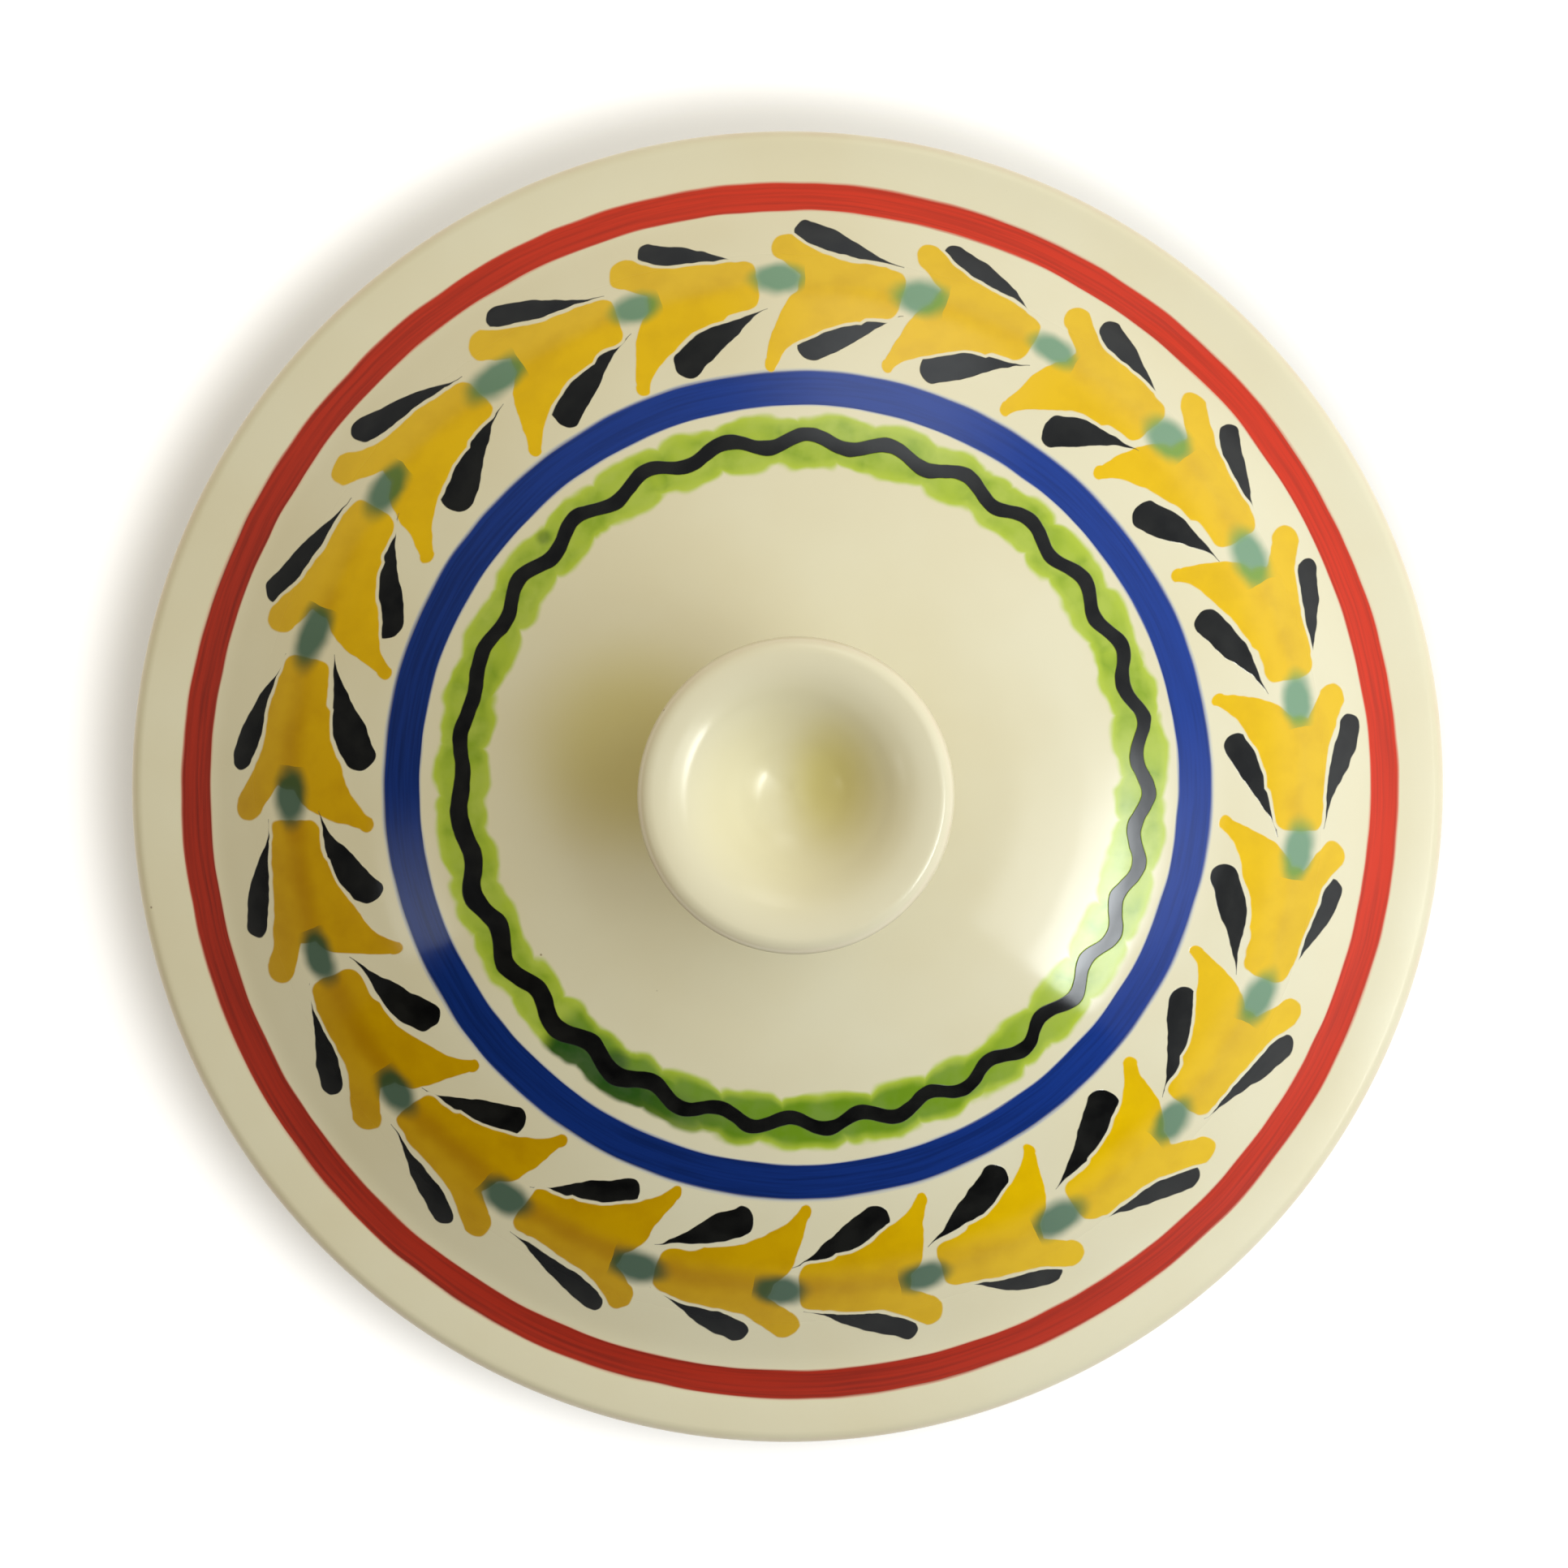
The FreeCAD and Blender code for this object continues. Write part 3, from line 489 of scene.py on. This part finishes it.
def green_dabs(put, ground, at, turn, off, patches):
    """Overlapping round touches, so both edges of the ring are scalloped.

    The ring was begun with a full brush, so it is richest there and pales as it goes. The wet paint
    has run out pale to the edges of the dabs, and two full drops have pooled on it.
    """
    stray = put("MapRange", put("TexNoise", at, 1 / DAB_STRAY, 2.0), 0.3, 0.7, -1.1, 1.1)
    arches_out, arches_in = (
        put("Math ABSOLUTE", put("Math COSINE", put(
            "Math MULTIPLY_ADD", turn, radians(DABS / 2),
            put("Math MULTIPLY_ADD", stray, way, -radians(first * DABS / 2)))))
        for way, first in ((1.0, 4), (-1.0, 7)))
    outer_edge = put("Math MULTIPLY_ADD", arches_out, DABS_OUT[1], DABS_OUT[0])
    inner_edge = put("Math MULTIPLY_ADD", arches_in, DABS_IN[1], DABS_IN[0])
    within = put("Math MINIMUM", put("Math SUBTRACT", outer_edge, off),
                 put("Math SUBTRACT", off, inner_edge))

    begun = put("MapRange SMOOTHSTEP", turn, *BEGUN_AT)
    rich = put("MapRange SMOOTHSTEP", toward(put, turn, RICH_AT), 0.35, 0.95, 0.0, RICH)
    rich = put("Math MULTIPLY", begun, rich)
    overlap = put("Math MULTIPLY", put("Math MINIMUM", arches_out, arches_in), RICH_OVERLAP)
    overlap = put("Math SUBTRACT", RICH_OVERLAP, overlap)
    overlap = put("Math MULTIPLY", overlap, put("MapRange", patches, 0.35, 0.6))
    rich = put("Math ADD", put("Math MAXIMUM", rich, overlap), RICH_LEAST)
    rich = put("Math MULTIPLY", rich, put("MapRange SMOOTHSTEP", within, 0.0, PALE_EDGE))
    green = put("Mix RGBA", rich, GREEN, GREEN_RICH)

    deepened = put("Math MULTIPLY", begun, put("MapRange SMOOTHSTEP", turn, *POOLED_AT))
    deepened = put("Math MULTIPLY", deepened, put("MapRange SMOOTHSTEP", off, -2.5, 1.5, 0.10, 0.95))
    for spot, size, depth in DROPS:
        drop = put("Group", at, spot, node_tree=around)
        drop = put("MapRange SMOOTHSTEP", drop, size, size * 0.3, 0.0, depth)
        deepened = put("Math MAXIMUM", deepened, drop)
    green = put("Mix RGBA", deepened, green, GREEN_DARK)
    green = put("Mix RGBA", put("MapRange", patches, 0.62, 0.35, 0.0, 0.06), green, ground)
    return put("Mix RGBA", put("MapRange SMOOTHSTEP", within, *DAB_SOFT), ground, green)


def wavy_line(put, turn, off):
    """How much of a place the wavy line covers.

    Its pace is uneven, it runs nearly straight for a short stretch, and it is wider where the brush
    was loaded.
    """
    pace = put("Math MULTIPLY_ADD", toward(put, turn, PACE_AT), PACE, -radians(WAVE_AT))
    swing = put("Math COSINE", put("Math MULTIPLY_ADD", turn, radians(WAVES), pace))
    calm = put("MapRange SMOOTHSTEP", toward(put, turn, CALM_AT), 0.90, 0.985,
               WAVE_HEIGHT, CALM_SHARE * WAVE_HEIGHT)
    half = put("MapRange SMOOTHSTEP", toward(put, turn, LOADED_AT), 0.75, 0.97,
               LINE_HALF, LINE_HALF_LOADED)
    aside = put("Math ABSOLUTE", put("Math SUBTRACT", off, put("Math MULTIPLY", swing, calm)))
    aside = put("Math SUBTRACT", aside, half)
    return put("MapRange SMOOTHSTEP", aside, LINE_SOFT, -LINE_SOFT)


# The garland's ring. Sizes are mm, angles are degrees.
BORDER_CENTRE, BORDER_RADIUS, BELLS = (1.31, 0.67, 0.0), 95.09, 21
BELL_PITCH = 2 * pi * BORDER_RADIUS / BELLS
BELL_LEAD = 5.0       # how far before its calyx a bell's own stretch of the border begins
FIRST_BELL = 179.5    # clockwise from +X to the first calyx
# Spaced by eye, the bells drift once and twice round: on which bearing most, and how far.
UNEVEN_ONCE, UNEVEN_TWICE = (-89, -2.05), (64, -1.23)


def garland(put, at):
    """How far off the nearest bell, calyx and leaf are, and how far out on its bell a place lies.

    Each place is measured from the bell it belongs to and from the one before, whose petals reach
    past the next calyx.
    """
    ring = put("Group", at, BORDER_CENTRE, out=None, node_tree=around).outputs
    even = ring["Degrees"]
    for times, (bearing, gap) in ((2, UNEVEN_TWICE), (1, UNEVEN_ONCE)):
        even = put("Math MULTIPLY_ADD", toward(put, ring["Degrees"], bearing, times), gap, even)
    count = put("Math DIVIDE", put("Math ADD", even, FIRST_BELL), 360 / BELLS)
    number = put("Math FLOOR", put("Math ADD", count, BELL_LEAD / BELL_PITCH))
    along_bell = put("Math MULTIPLY", put("Math SUBTRACT", count, number), BELL_PITCH)
    across = put("Math SUBTRACT", ring["Radius"], BORDER_RADIUS)
    own, before = (
        put("Group", put("CombineXYZ", put("Math ADD", along_bell, back * BELL_PITCH), across, 0.0),
            put("Math FLOORED_MODULO", put("Math SUBTRACT", number, float(back)), float(BELLS)),
            out=None, node_tree=motif).outputs for back in (0, 1))
    nearest = [put("Math MINIMUM", own[part], before[part]) for part in ("Bell", "Calyx", "Leaf")]
    on_own = put("Math LESS_THAN", own["Bell"], before["Bell"])
    return *nearest, put("Mix FLOAT", on_own, before["Side"], own["Side"])


# How the bells, calyxes and leaves are laid. Edges are mm from their outline, from bare to covered.
CORE_MIDDLE, CORE_HALF = -0.6, (3.4, 0.2)     # mm: the dark stroke along a bell, and its half width
CORE_IN_SHADE, WASH_IN_SHADE = 0.55, 0.52             # dark yellow painted as shade on the shaded side
CORE_LEAST, WASH_LEAST = (0.03, 0.12), (0.08, 0.24)     # and all round the ring, in patches
BELL_SOFT, LEAF_SOFT, GREEN_OVER = (0.12, -0.22), (0.10, -0.12), (0.9, -1.1)
CALYX_SOFT, CALYX_SHARE = (1.32, 0.55), 0.92     # its edge in half sizes, and how much it covers


def painted_bells(put, ground, bell, side, deepest_painted_shade, patches):
    """Yellow bells, darker along the middle, and how much they cover.

    The dark middle and the washes show a little in patches all round, and most on the side away from
    the lamps, as painted shade.
    """
    yellow = put("Mix RGBA", put("MapRange SMOOTHSTEP", side, -1.9, 0.3), YELLOW, YELLOW_PALE)
    core = put("Math ABSOLUTE", put("Math SUBTRACT", side, CORE_MIDDLE))
    core = put("MapRange SMOOTHSTEP", core, *CORE_HALF)
    core = put("Math MULTIPLY", core, put("Math MULTIPLY_ADD", deepest_painted_shade, CORE_IN_SHADE, put(
        "MapRange", patches, 0.35, 0.6, *CORE_LEAST)))
    wash_and_shade = put("MapRange", patches, 0.4, 0.75, *WASH_LEAST)
    wash_and_shade = put("Math MULTIPLY_ADD", deepest_painted_shade, WASH_IN_SHADE, wash_and_shade)
    for share in (core, wash_and_shade):
        yellow = put("Mix RGBA", share, yellow, YELLOW_CORE_AND_SHADE)
    cover = put("MapRange SMOOTHSTEP", bell, *BELL_SOFT)
    return put("Mix RGBA", cover, ground, yellow), cover


def painted_calyxes(put, ground, calyx, bell, painted_shade):
    """One wet touch of green on each joint of the garland, greener where it lies on the yellow.

    It is painted darker on the side away from the lamps: painted shade.
    """
    between = put("Mix RGBA", painted_shade, CALYX, CALYX_SHADED)
    on_bells = put("Mix RGBA", painted_shade, CALYX_ON_YELLOW, CALYX_ON_YELLOW_SHADED)
    green = put("Mix RGBA", put("MapRange SMOOTHSTEP", bell, *GREEN_OVER), between, on_bells)
    cover = put("MapRange SMOOTHSTEP", calyx, *CALYX_SOFT, 0.0, CALYX_SHARE)
    return put("Mix RGBA", cover, ground, green)


# The lid's glaze runs thin over the lip. Beside the knob, where its shadow falls, the glaze is painted
# yellower: painted shade. It shines on the dome, is dull on the brim and less dull on the lip. On the
# side away from the lamps the rings, bells and calyxes are painted darker: painted shade.
THIN_LIP, PAINTED_KNOB_SHADOW, PAINTED_KNOB_SHADOW_REACH = (123.4, 124.8), (-30.0, 8.0, 90.0), (26.0, 6.0)      # mm
THIN_SHARE, PAINTED_KNOB_SHADOW_SHARE = 0.35, 0.75
BRIM, LIP = (92.0, 112.0, 0.55), (116.5, 121.5, 0.32)     # from and to which radius, the roughness
SHADED_SIDE = -136                                         # degrees from +X: the side painted darker, as painted shade


def painted_glaze(put):
    """The lid's top: cream glaze with the painted rings, garland, dabs and wavy line."""
    here = put("Group", out=None, node_tree=whereabouts).outputs
    at = here["Place"]
    thin = put("MapRange SMOOTHSTEP", here["Out"], *THIN_LIP, 0.0, THIN_SHARE)
    # Painted shade: beside the knob, where its shadow falls, the glaze is painted yellower.
    deepened = put("VectorMath DISTANCE", at, PAINTED_KNOB_SHADOW)
    deepened = put("MapRange SMOOTHSTEP", deepened, *PAINTED_KNOB_SHADOW_REACH, 0.0, PAINTED_KNOB_SHADOW_SHARE)
    made = put("Group", thin, deepened, out=None, node_tree=glaze).outputs
    gloss = made["Roughness"]
    for start, full, roughness in (BRIM, LIP):
        share = put("MapRange SMOOTHSTEP", here["Out"], start, full)
        gloss = put("Mix FLOAT", share, gloss, roughness)

    # Painted shade: how much darker the rings, bells and calyxes are painted on the side away from the
    # lamps.
    shaded_side = put("Group", at, BORDER_CENTRE, out="Degrees", node_tree=around)
    shaded_side = toward(put, shaded_side, SHADED_SIDE)
    painted_shade = put("MapRange SMOOTHSTEP", shaded_side, -0.9, 0.9)
    deepest_painted_shade = put("MapRange SMOOTHSTEP", shaded_side, 0.1, 1.0)
    patches = put("TexNoise", at, 1 / PAINT_PATCH, 3.0)
    ink = put("Mix RGBA", put("MapRange", patches, 0.35, 0.65), BLACK, BLACK_THIN)

    colour = made["Colour"]
    steady = swayed(put, at, at, WAVER, BAND_WAVER)
    for band in (RED_BAND, BLUE_BAND):
        colour = brushed_band(put, colour, steady, painted_shade, *band)

    wave = put("Group", at, WAVE_CENTRE, out=None, node_tree=around).outputs
    waver = put("MapRange", put("TexNoise", at, 1 / EDGE_WAVER, 1.0), 0.3, 0.7,
                -EDGE_WAVER_WIDTH, EDGE_WAVER_WIDTH)
    off = put("Math ADD", put("Math SUBTRACT", wave["Radius"], WAVE_RADIUS), waver)
    colour = green_dabs(put, colour, at, wave["Degrees"], off, patches)
    line = wavy_line(put, wave["Degrees"], off)
    colour = put("Mix RGBA", line, colour, ink)

    drawn = swayed(put, at, swayed(put, at, at, WAVER, BELL_WAVER), TREMOR, BELL_TREMOR)
    bell, calyx, leaf, side = garland(put, drawn)
    colour, bells = painted_bells(put, colour, bell, side, deepest_painted_shade, patches)
    colour = painted_calyxes(put, colour, calyx, bell, painted_shade)
    leaves = put("MapRange SMOOTHSTEP", leaf, *LEAF_SOFT)
    colour = put("Mix RGBA", leaves, colour, ink)
    height = put("Math MULTIPLY_ADD", put("Math MAXIMUM", line, leaves), SLIP_HEIGHT, made["Height"])
    return colour, gloss, put("Math MULTIPLY_ADD", bells, YELLOW_HEIGHT, height)


painted = finish_surface("cream glaze, painted", painted_glaze)

# The ceiling, its slope and the hollow's edge inside, then the lip, the brim, the dome and the crown.
CROWN, CEILING = 92.0, 86.0
HOLLOW = 112.0        # mm: the hollow lies within this radius
PAST_LIP = 135.0      # mm along the section, from the axis to the lip's widest point
lid_path = outline(
    (0, CEILING), (18, -31.657, 117.657, 90, 70), (-13.264, -117.555, 209.068, 70, 53.27),
    (122, 53, 3, -90, 78), (118.184, 77.325, 20, 258, 236), (-13.264, -117.555, 215.068, 56, 70),
    (18, -31.657, 123.657, 70, 90), (0, CROWN))
lid_lip = int(np.argmax(lid_path[:, 0]))
lid_inside = {tuple(np.round((a + b) / 2, 6)) for a, b in zip(lid_path[:lid_lip], lid_path[1:lid_lip])}


def lid_finish(r, z):
    """Bare where it rests on the dish, plain cream inside and painted above."""
    if z < SEAT + WIPED:
        return bare_clay
    return cream if tuple(np.round((r, z), 6)) in lid_inside and r < HOLLOW else painted


def lid_uneven(turn, r, z, run):
    """The top sways a little. The crown under the knob, the seat and the inside are true."""
    free = (run > PAST_LIP) * rise(r, 21, 33) * rise(z, 54, 58)
    lip = 0.05 * rise(r, 123, 125)
    return lip + free * hand_of_thrower(turn, run, pitch=11.0, ridges=0.02, sway=0.05)


turned("lid", lid_path, [painted, cream, bare_clay], lid_finish, lid_uneven,
       "lid", "lid_shell", upper_share=0.776)

# ---------------------------------------------------------------------------
# Locating ring. A coil luted under the lid and turned true, so that the lid
# drops into the dish's mouth. Glazed with the lid, its lower edge wiped bare.
# ---------------------------------------------------------------------------
WIPED_FROM, WIPED_TO = 46.2, 45.6     # mm: the glaze ends between these levels
WIPE_SWAY, WIPE_LENGTH = 2.0, 12.0    # mm: how far and how long the wiping finger strays


def wiped_glaze(put):
    """Cream glaze down to a hand-wiped line, and bare clay below it."""
    here = put("Group", out=None, node_tree=whereabouts).outputs
    stray = put("TexNoise", here["Place"], 1 / WIPE_LENGTH, 3.0)
    level = put("Math MULTIPLY_ADD", stray, WIPE_SWAY, here["Level"])
    wiped = put("MapRange SMOOTHSTEP", level, WIPED_FROM, WIPED_TO)
    clay_colour, clay_rough, clay_height = bare_clay_look(put)
    made = plain_glaze(put)
    return (put("Mix RGBA", wiped, made["Colour"], clay_colour),
            put("Mix FLOAT", wiped, made["Roughness"], clay_rough),
            put("Mix FLOAT", wiped, made["Height"], clay_height))


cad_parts["lid_locating_ring"].material_slots[0].material = finish_surface(
    "cream glaze, wiped off below", wiped_glaze)

# ---------------------------------------------------------------------------
# Knob. Thrown separately as a small cup on a stem and luted to the crown with
# slip. The glaze pools in its cup and thins over its lip. Its cup, most of all on
# the shaded side, and its foot are painted yellower: pooled glaze and painted shade.
# ---------------------------------------------------------------------------
LIP_THIN, LIP_THIN_SHARE = (26.8, 28.2), 0.25             # mm from the axis
# Pooled glaze and painted shade: off the axis towards the cup's shaded side, and where the knob meets
# the lid.
CUP_POOL_AND_SHADE, CUP_POOL_AND_SHADE_SHAPE = (6.5, 2.2, 0.0), (1.1, 0.75, 0.0)
CUP_POOL_AND_SHADE_REACH, CUP_POOL_AND_SHADE_SHARE = (12.0, 2.0), 0.65        # mm from the middle of the pooled glaze and painted shade
CUP_REACH, CUP_SHARE = (25.0, 12.0), 0.3                  # mm from the axis
FOOT_LEVEL, FOOT_SHARE = (95.5, 92.2), 0.6                # mm above the table
KNOB_DULLER = 0.10                                        # added to the glaze's roughness


def knob_glaze(put):
    """Cream glaze that pools in the cup and at the foot, and thins to the clay over the lip.

    The cup, most of all on its shaded side, and the foot also carry painted shade.
    """
    here = put("Group", out=None, node_tree=whereabouts).outputs
    thin = put("MapRange SMOOTHSTEP", here["Out"], *LIP_THIN, 0.0, LIP_THIN_SHARE)
    from_pool_and_shade = put("VectorMath SUBTRACT", here["Place"], CUP_POOL_AND_SHADE)
    from_pool_and_shade = put("VectorMath LENGTH", put("VectorMath MULTIPLY", from_pool_and_shade, CUP_POOL_AND_SHADE_SHAPE))
    in_cup = put("Math ADD",
                 put("MapRange SMOOTHSTEP", from_pool_and_shade, *CUP_POOL_AND_SHADE_REACH, 0.0, CUP_POOL_AND_SHADE_SHARE),
                 put("MapRange SMOOTHSTEP", here["Out"], *CUP_REACH, 0.0, CUP_SHARE))
    at_foot = put("MapRange SMOOTHSTEP", here["Level"], *FOOT_LEVEL, 0.0, FOOT_SHARE)
    made = put("Group", thin, put("Math MAXIMUM", in_cup, at_foot), out=None, node_tree=glaze).outputs
    return made["Colour"], put("Math ADD", made["Roughness"], KNOB_DULLER), made["Height"]


# The base, the waist of the stem in two arcs and the cup's lip in two, then the cup.
knob_path = outline(
    (0, CROWN), (20.9, CROWN + 8, 8.9, 244, 180), (22.762, CROWN + 8, 10.762, 180, 126),
    (25.5, CROWN + 27, 3, -54, 90), (25.5, CROWN + 16, 14, 90, 126), (0, CROWN + 37.027, 18, 306, 270))


def knob_uneven(turn, r, z, run):
    """Finger ridges in the cup and on the stem, with the base true."""
    return rise(z, 94, 98) * hand_of_thrower(turn, run, pitch=4.5, ridges=0.035, sway=0.04)


# The knob's glaze: pooled glaze with painted shade in the cup and at the foot.
knob_surface = finish_surface("cream glaze, pooled", knob_glaze)
turned("knob", knob_path, [knob_surface], lambda r, z: knob_surface, knob_uneven,
       "lid", "lid_knob", upper_share=0.5)

# ---------------------------------------------------------------------------
# Studio. White paper, two soft lamps, and a pale room that is dark on the near
# side. The glaze mirrors soft patches of light in the room, not the lamps. The
# camera looks almost straight down.
# ---------------------------------------------------------------------------
FLOOR_HALF, FLOOR_COLOUR = 4.0, paint("#D6D4CE")          # m
GLOW_MIDDLE, GLOW_REACH = (-0.001, 0.003, 0.0), (0.128, 0.145)     # m
GLOW = 0.27, 0.85                                         # near the dish and away from it

floor_mesh = bpy.data.meshes.new("floor")
floor_mesh.from_pydata([(x * FLOOR_HALF, y * FLOOR_HALF, 0.0)
                        for x, y in ((-1, -1), (1, -1), (1, 1), (-1, 1))], [], [(0, 1, 2, 3)])
floor = bpy.data.objects.new("floor", floor_mesh)
bpy.context.scene.collection.objects.link(floor)

# White paper, matt. It glows to the camera and in the glaze, and more so away from the dish, so that
# the ground is white and the soft shadow stays near the rim.
paper = bpy.data.materials.new("white paper")
paper.use_nodes = True
paper.node_tree.nodes.clear()
put = partial(add, paper.node_tree)
away = put("VectorMath DISTANCE", put("TexCoord", out="Object"), GLOW_MIDDLE)
path = put("LightPath", out=None).outputs
seen = put("Math MAXIMUM", path["Is Camera Ray"],
           put("Math MAXIMUM", path["Is Glossy Ray"], path["Is Transmission Ray"]))
glow = put("Math MULTIPLY", seen, put("MapRange SMOOTHSTEP", away, *GLOW_REACH, *GLOW))
glow = put("Emission", (1.0, 1.0, 1.0, 1.0), glow)
put("OutputMaterial", {"Surface": put("AddShader", put("BsdfDiffuse", FLOOR_COLOUR), glow)}, out=None)
floor_mesh.materials.append(paper)

# The pale room: plain white to the camera, one soft light on matt surfaces, another in the glaze.
# Bearings are degrees from +X. A height is the upward part of a direction: 0 level, 1 overhead.
DARK_FROM, DARK_TO = -152.0, -38.0                        # bearings of the dark near side
DARK_LEFT = 0.12                                          # the share of light that is left there
BRIGHT_SIDE = 20                                          # bearing of the room's brighter side
ROOM, ROOM_LEAN = 0.60, 0.14                              # on matt surfaces, and more at the back
CEILING_LIGHT, CEILING_LEAN = 0.24, 0.18                  # mirrored, and more at the bright side
WALL_LIGHT, WALL_LEAN_LIGHT = 0.62, 0.55
ON_MATT, IN_GLAZE = (1.0, 0.92, 0.74, 1.0), (0.95, 1.0, 1.04, 1.0)     # the light's colour
# Each patch of light: how bright, the bearings it rises and falls over, and the heights.
PATCHES = ((12.0, (-46.0, -33.0, -30.0, 16.0), (0.63, 0.69, 0.70, 0.80)),
           (2.5, (-46.0, -33.0, -30.0, 16.0), (0.63, 0.69, 0.84, 0.94)),
           (0.8, (-40.0, -12.0, -10.0, 12.0), (0.52, 0.58, 0.62, 0.70)),
           (1.2, (50.0, 70.0, 78.0, 100.0), (0.42, 0.50, 0.66, 0.76)),
           (1.3, (-180.0, -157.0, -156.0, -154.0), (0.56, 0.60, 0.66, 0.72)))

world = bpy.data.worlds.new("pale room")
world.use_nodes = True
world.node_tree.nodes.clear()
put = partial(add, world.node_tree)
direction = put("SeparateXYZ", put("TexCoord", out="Generated"), out=None).outputs
height = direction["Z"]
turn = put("Math DEGREES", put("Math ARCTAN2", direction["Y"], direction["X"]))
dark = put("Math MULTIPLY", put("MapRange", turn, DARK_FROM - 1, DARK_FROM + 1),
           put("MapRange", turn, DARK_TO + 1, DARK_TO - 1))
open_side = put("Math MULTIPLY", dark, put("MapRange", height, 0.85, 0.75))
open_side = put("MapRange", open_side, 0.0, 1.0, 1.0, DARK_LEFT)
bright_side = toward(put, turn, BRIGHT_SIDE)
overhead = put("Math MULTIPLY", put("Math MULTIPLY_ADD", bright_side, CEILING_LEAN, CEILING_LIGHT), put(
    "Math MULTIPLY", open_side, put("MapRange SMOOTHSTEP", height, 0.92, 0.80, 0.3, 1.0)))
walls = put("Math MULTIPLY_ADD", bright_side, WALL_LEAN_LIGHT, WALL_LIGHT)
low = put("MapRange SMOOTHSTEP", put("Math MULTIPLY_ADD", dark, 0.03, height), 0.50, 0.36)
in_glaze = put("Mix FLOAT", low, overhead, walls)
from_dark = put("Math ABSOLUTE", put("Math SUBTRACT", turn, (DARK_FROM + DARK_TO) / 2))
lit = put("Math GREATER_THAN", from_dark, (DARK_TO - DARK_FROM) / 2 + 0.5)
for bright, (start, full, fade, end), (low, low_full, high_full, high) in PATCHES:
    across = put("Math MULTIPLY", put("MapRange SMOOTHSTEP", turn, start, full, 0.0, bright),
                 put("MapRange SMOOTHSTEP", turn, end, fade))
    upright = put("Math MULTIPLY", put("MapRange SMOOTHSTEP", height, low, low_full),
                  put("MapRange SMOOTHSTEP", height, high, high_full))
    patch = put("Math MULTIPLY", across, put("Math MULTIPLY", upright, lit))
    in_glaze = put("Math ADD", in_glaze, patch)
path = put("LightPath", out=None).outputs
mirrored = put("Math MAXIMUM", path["Is Glossy Ray"], path["Is Transmission Ray"])
on_matt = put("Math MULTIPLY", open_side, put("Math MULTIPLY_ADD", direction["Y"], ROOM_LEAN, ROOM))
strength = put("Math MAXIMUM", put("Mix FLOAT", mirrored, on_matt, in_glaze), path["Is Camera Ray"])
tint = put("Mix RGBA", mirrored, ON_MATT, IN_GLAZE)
tint = put("Mix RGBA", path["Is Camera Ray"], tint, (1.0, 1.0, 1.0, 1.0))
put("OutputWorld", {"Surface": put("Background", tint, strength)}, out=None)
bpy.context.scene.world = world

LAMP_COLOUR, LAMP_AIM = (0.86, 0.95, 1.08), Vector((0, 0, 0.08))     # the aim in m


def softbox(name, bearing, from_above, distance, width, watts):
    """A square lamp that faces the lid, from a bearing and an angle from straight above.

    The glaze doesn't mirror it: the room's patches of light take its place and have soft edges.
    """
    lamp = bpy.data.lights.new(name, "AREA")
    lamp.shape, lamp.size, lamp.energy, lamp.color = "SQUARE", width, watts, LAMP_COLOUR
    facing = Vector((sin(radians(from_above)) * cos(radians(bearing)),
                     sin(radians(from_above)) * sin(radians(bearing)), cos(radians(from_above))))
    light = bpy.data.objects.new(name, lamp)
    light.location = LAMP_AIM + facing * distance
    light.rotation_euler = facing.to_track_quat("Z", "Y").to_euler()
    light.visible_glossy = False
    bpy.context.scene.collection.objects.link(light)


softbox("key", bearing=-30, from_above=50, distance=0.9, width=0.45, watts=2.4)
softbox("fill", bearing=14, from_above=44, distance=1.1, width=0.9, watts=5.5)

EYE, AIM = Vector((-20.0, 21.0, 1100.0)) * MM, Vector((-0.93, 0.77, 53.0)) * MM
back = (EYE - AIM).normalized()
right = Vector((0, 1, 0)).cross(back).normalized()
lens = bpy.data.cameras.new("camera")
lens.lens, lens.sensor_width = 126.15, 36.0
camera = bpy.data.objects.new("camera", lens)
axes = Matrix((right, back.cross(right), back)).transposed()
camera.matrix_world = Matrix.Translation(EYE) @ axes.to_4x4()
bpy.context.scene.collection.objects.link(camera)
bpy.context.scene.camera = camera
bpy.context.scene.view_settings.view_transform = "Standard"
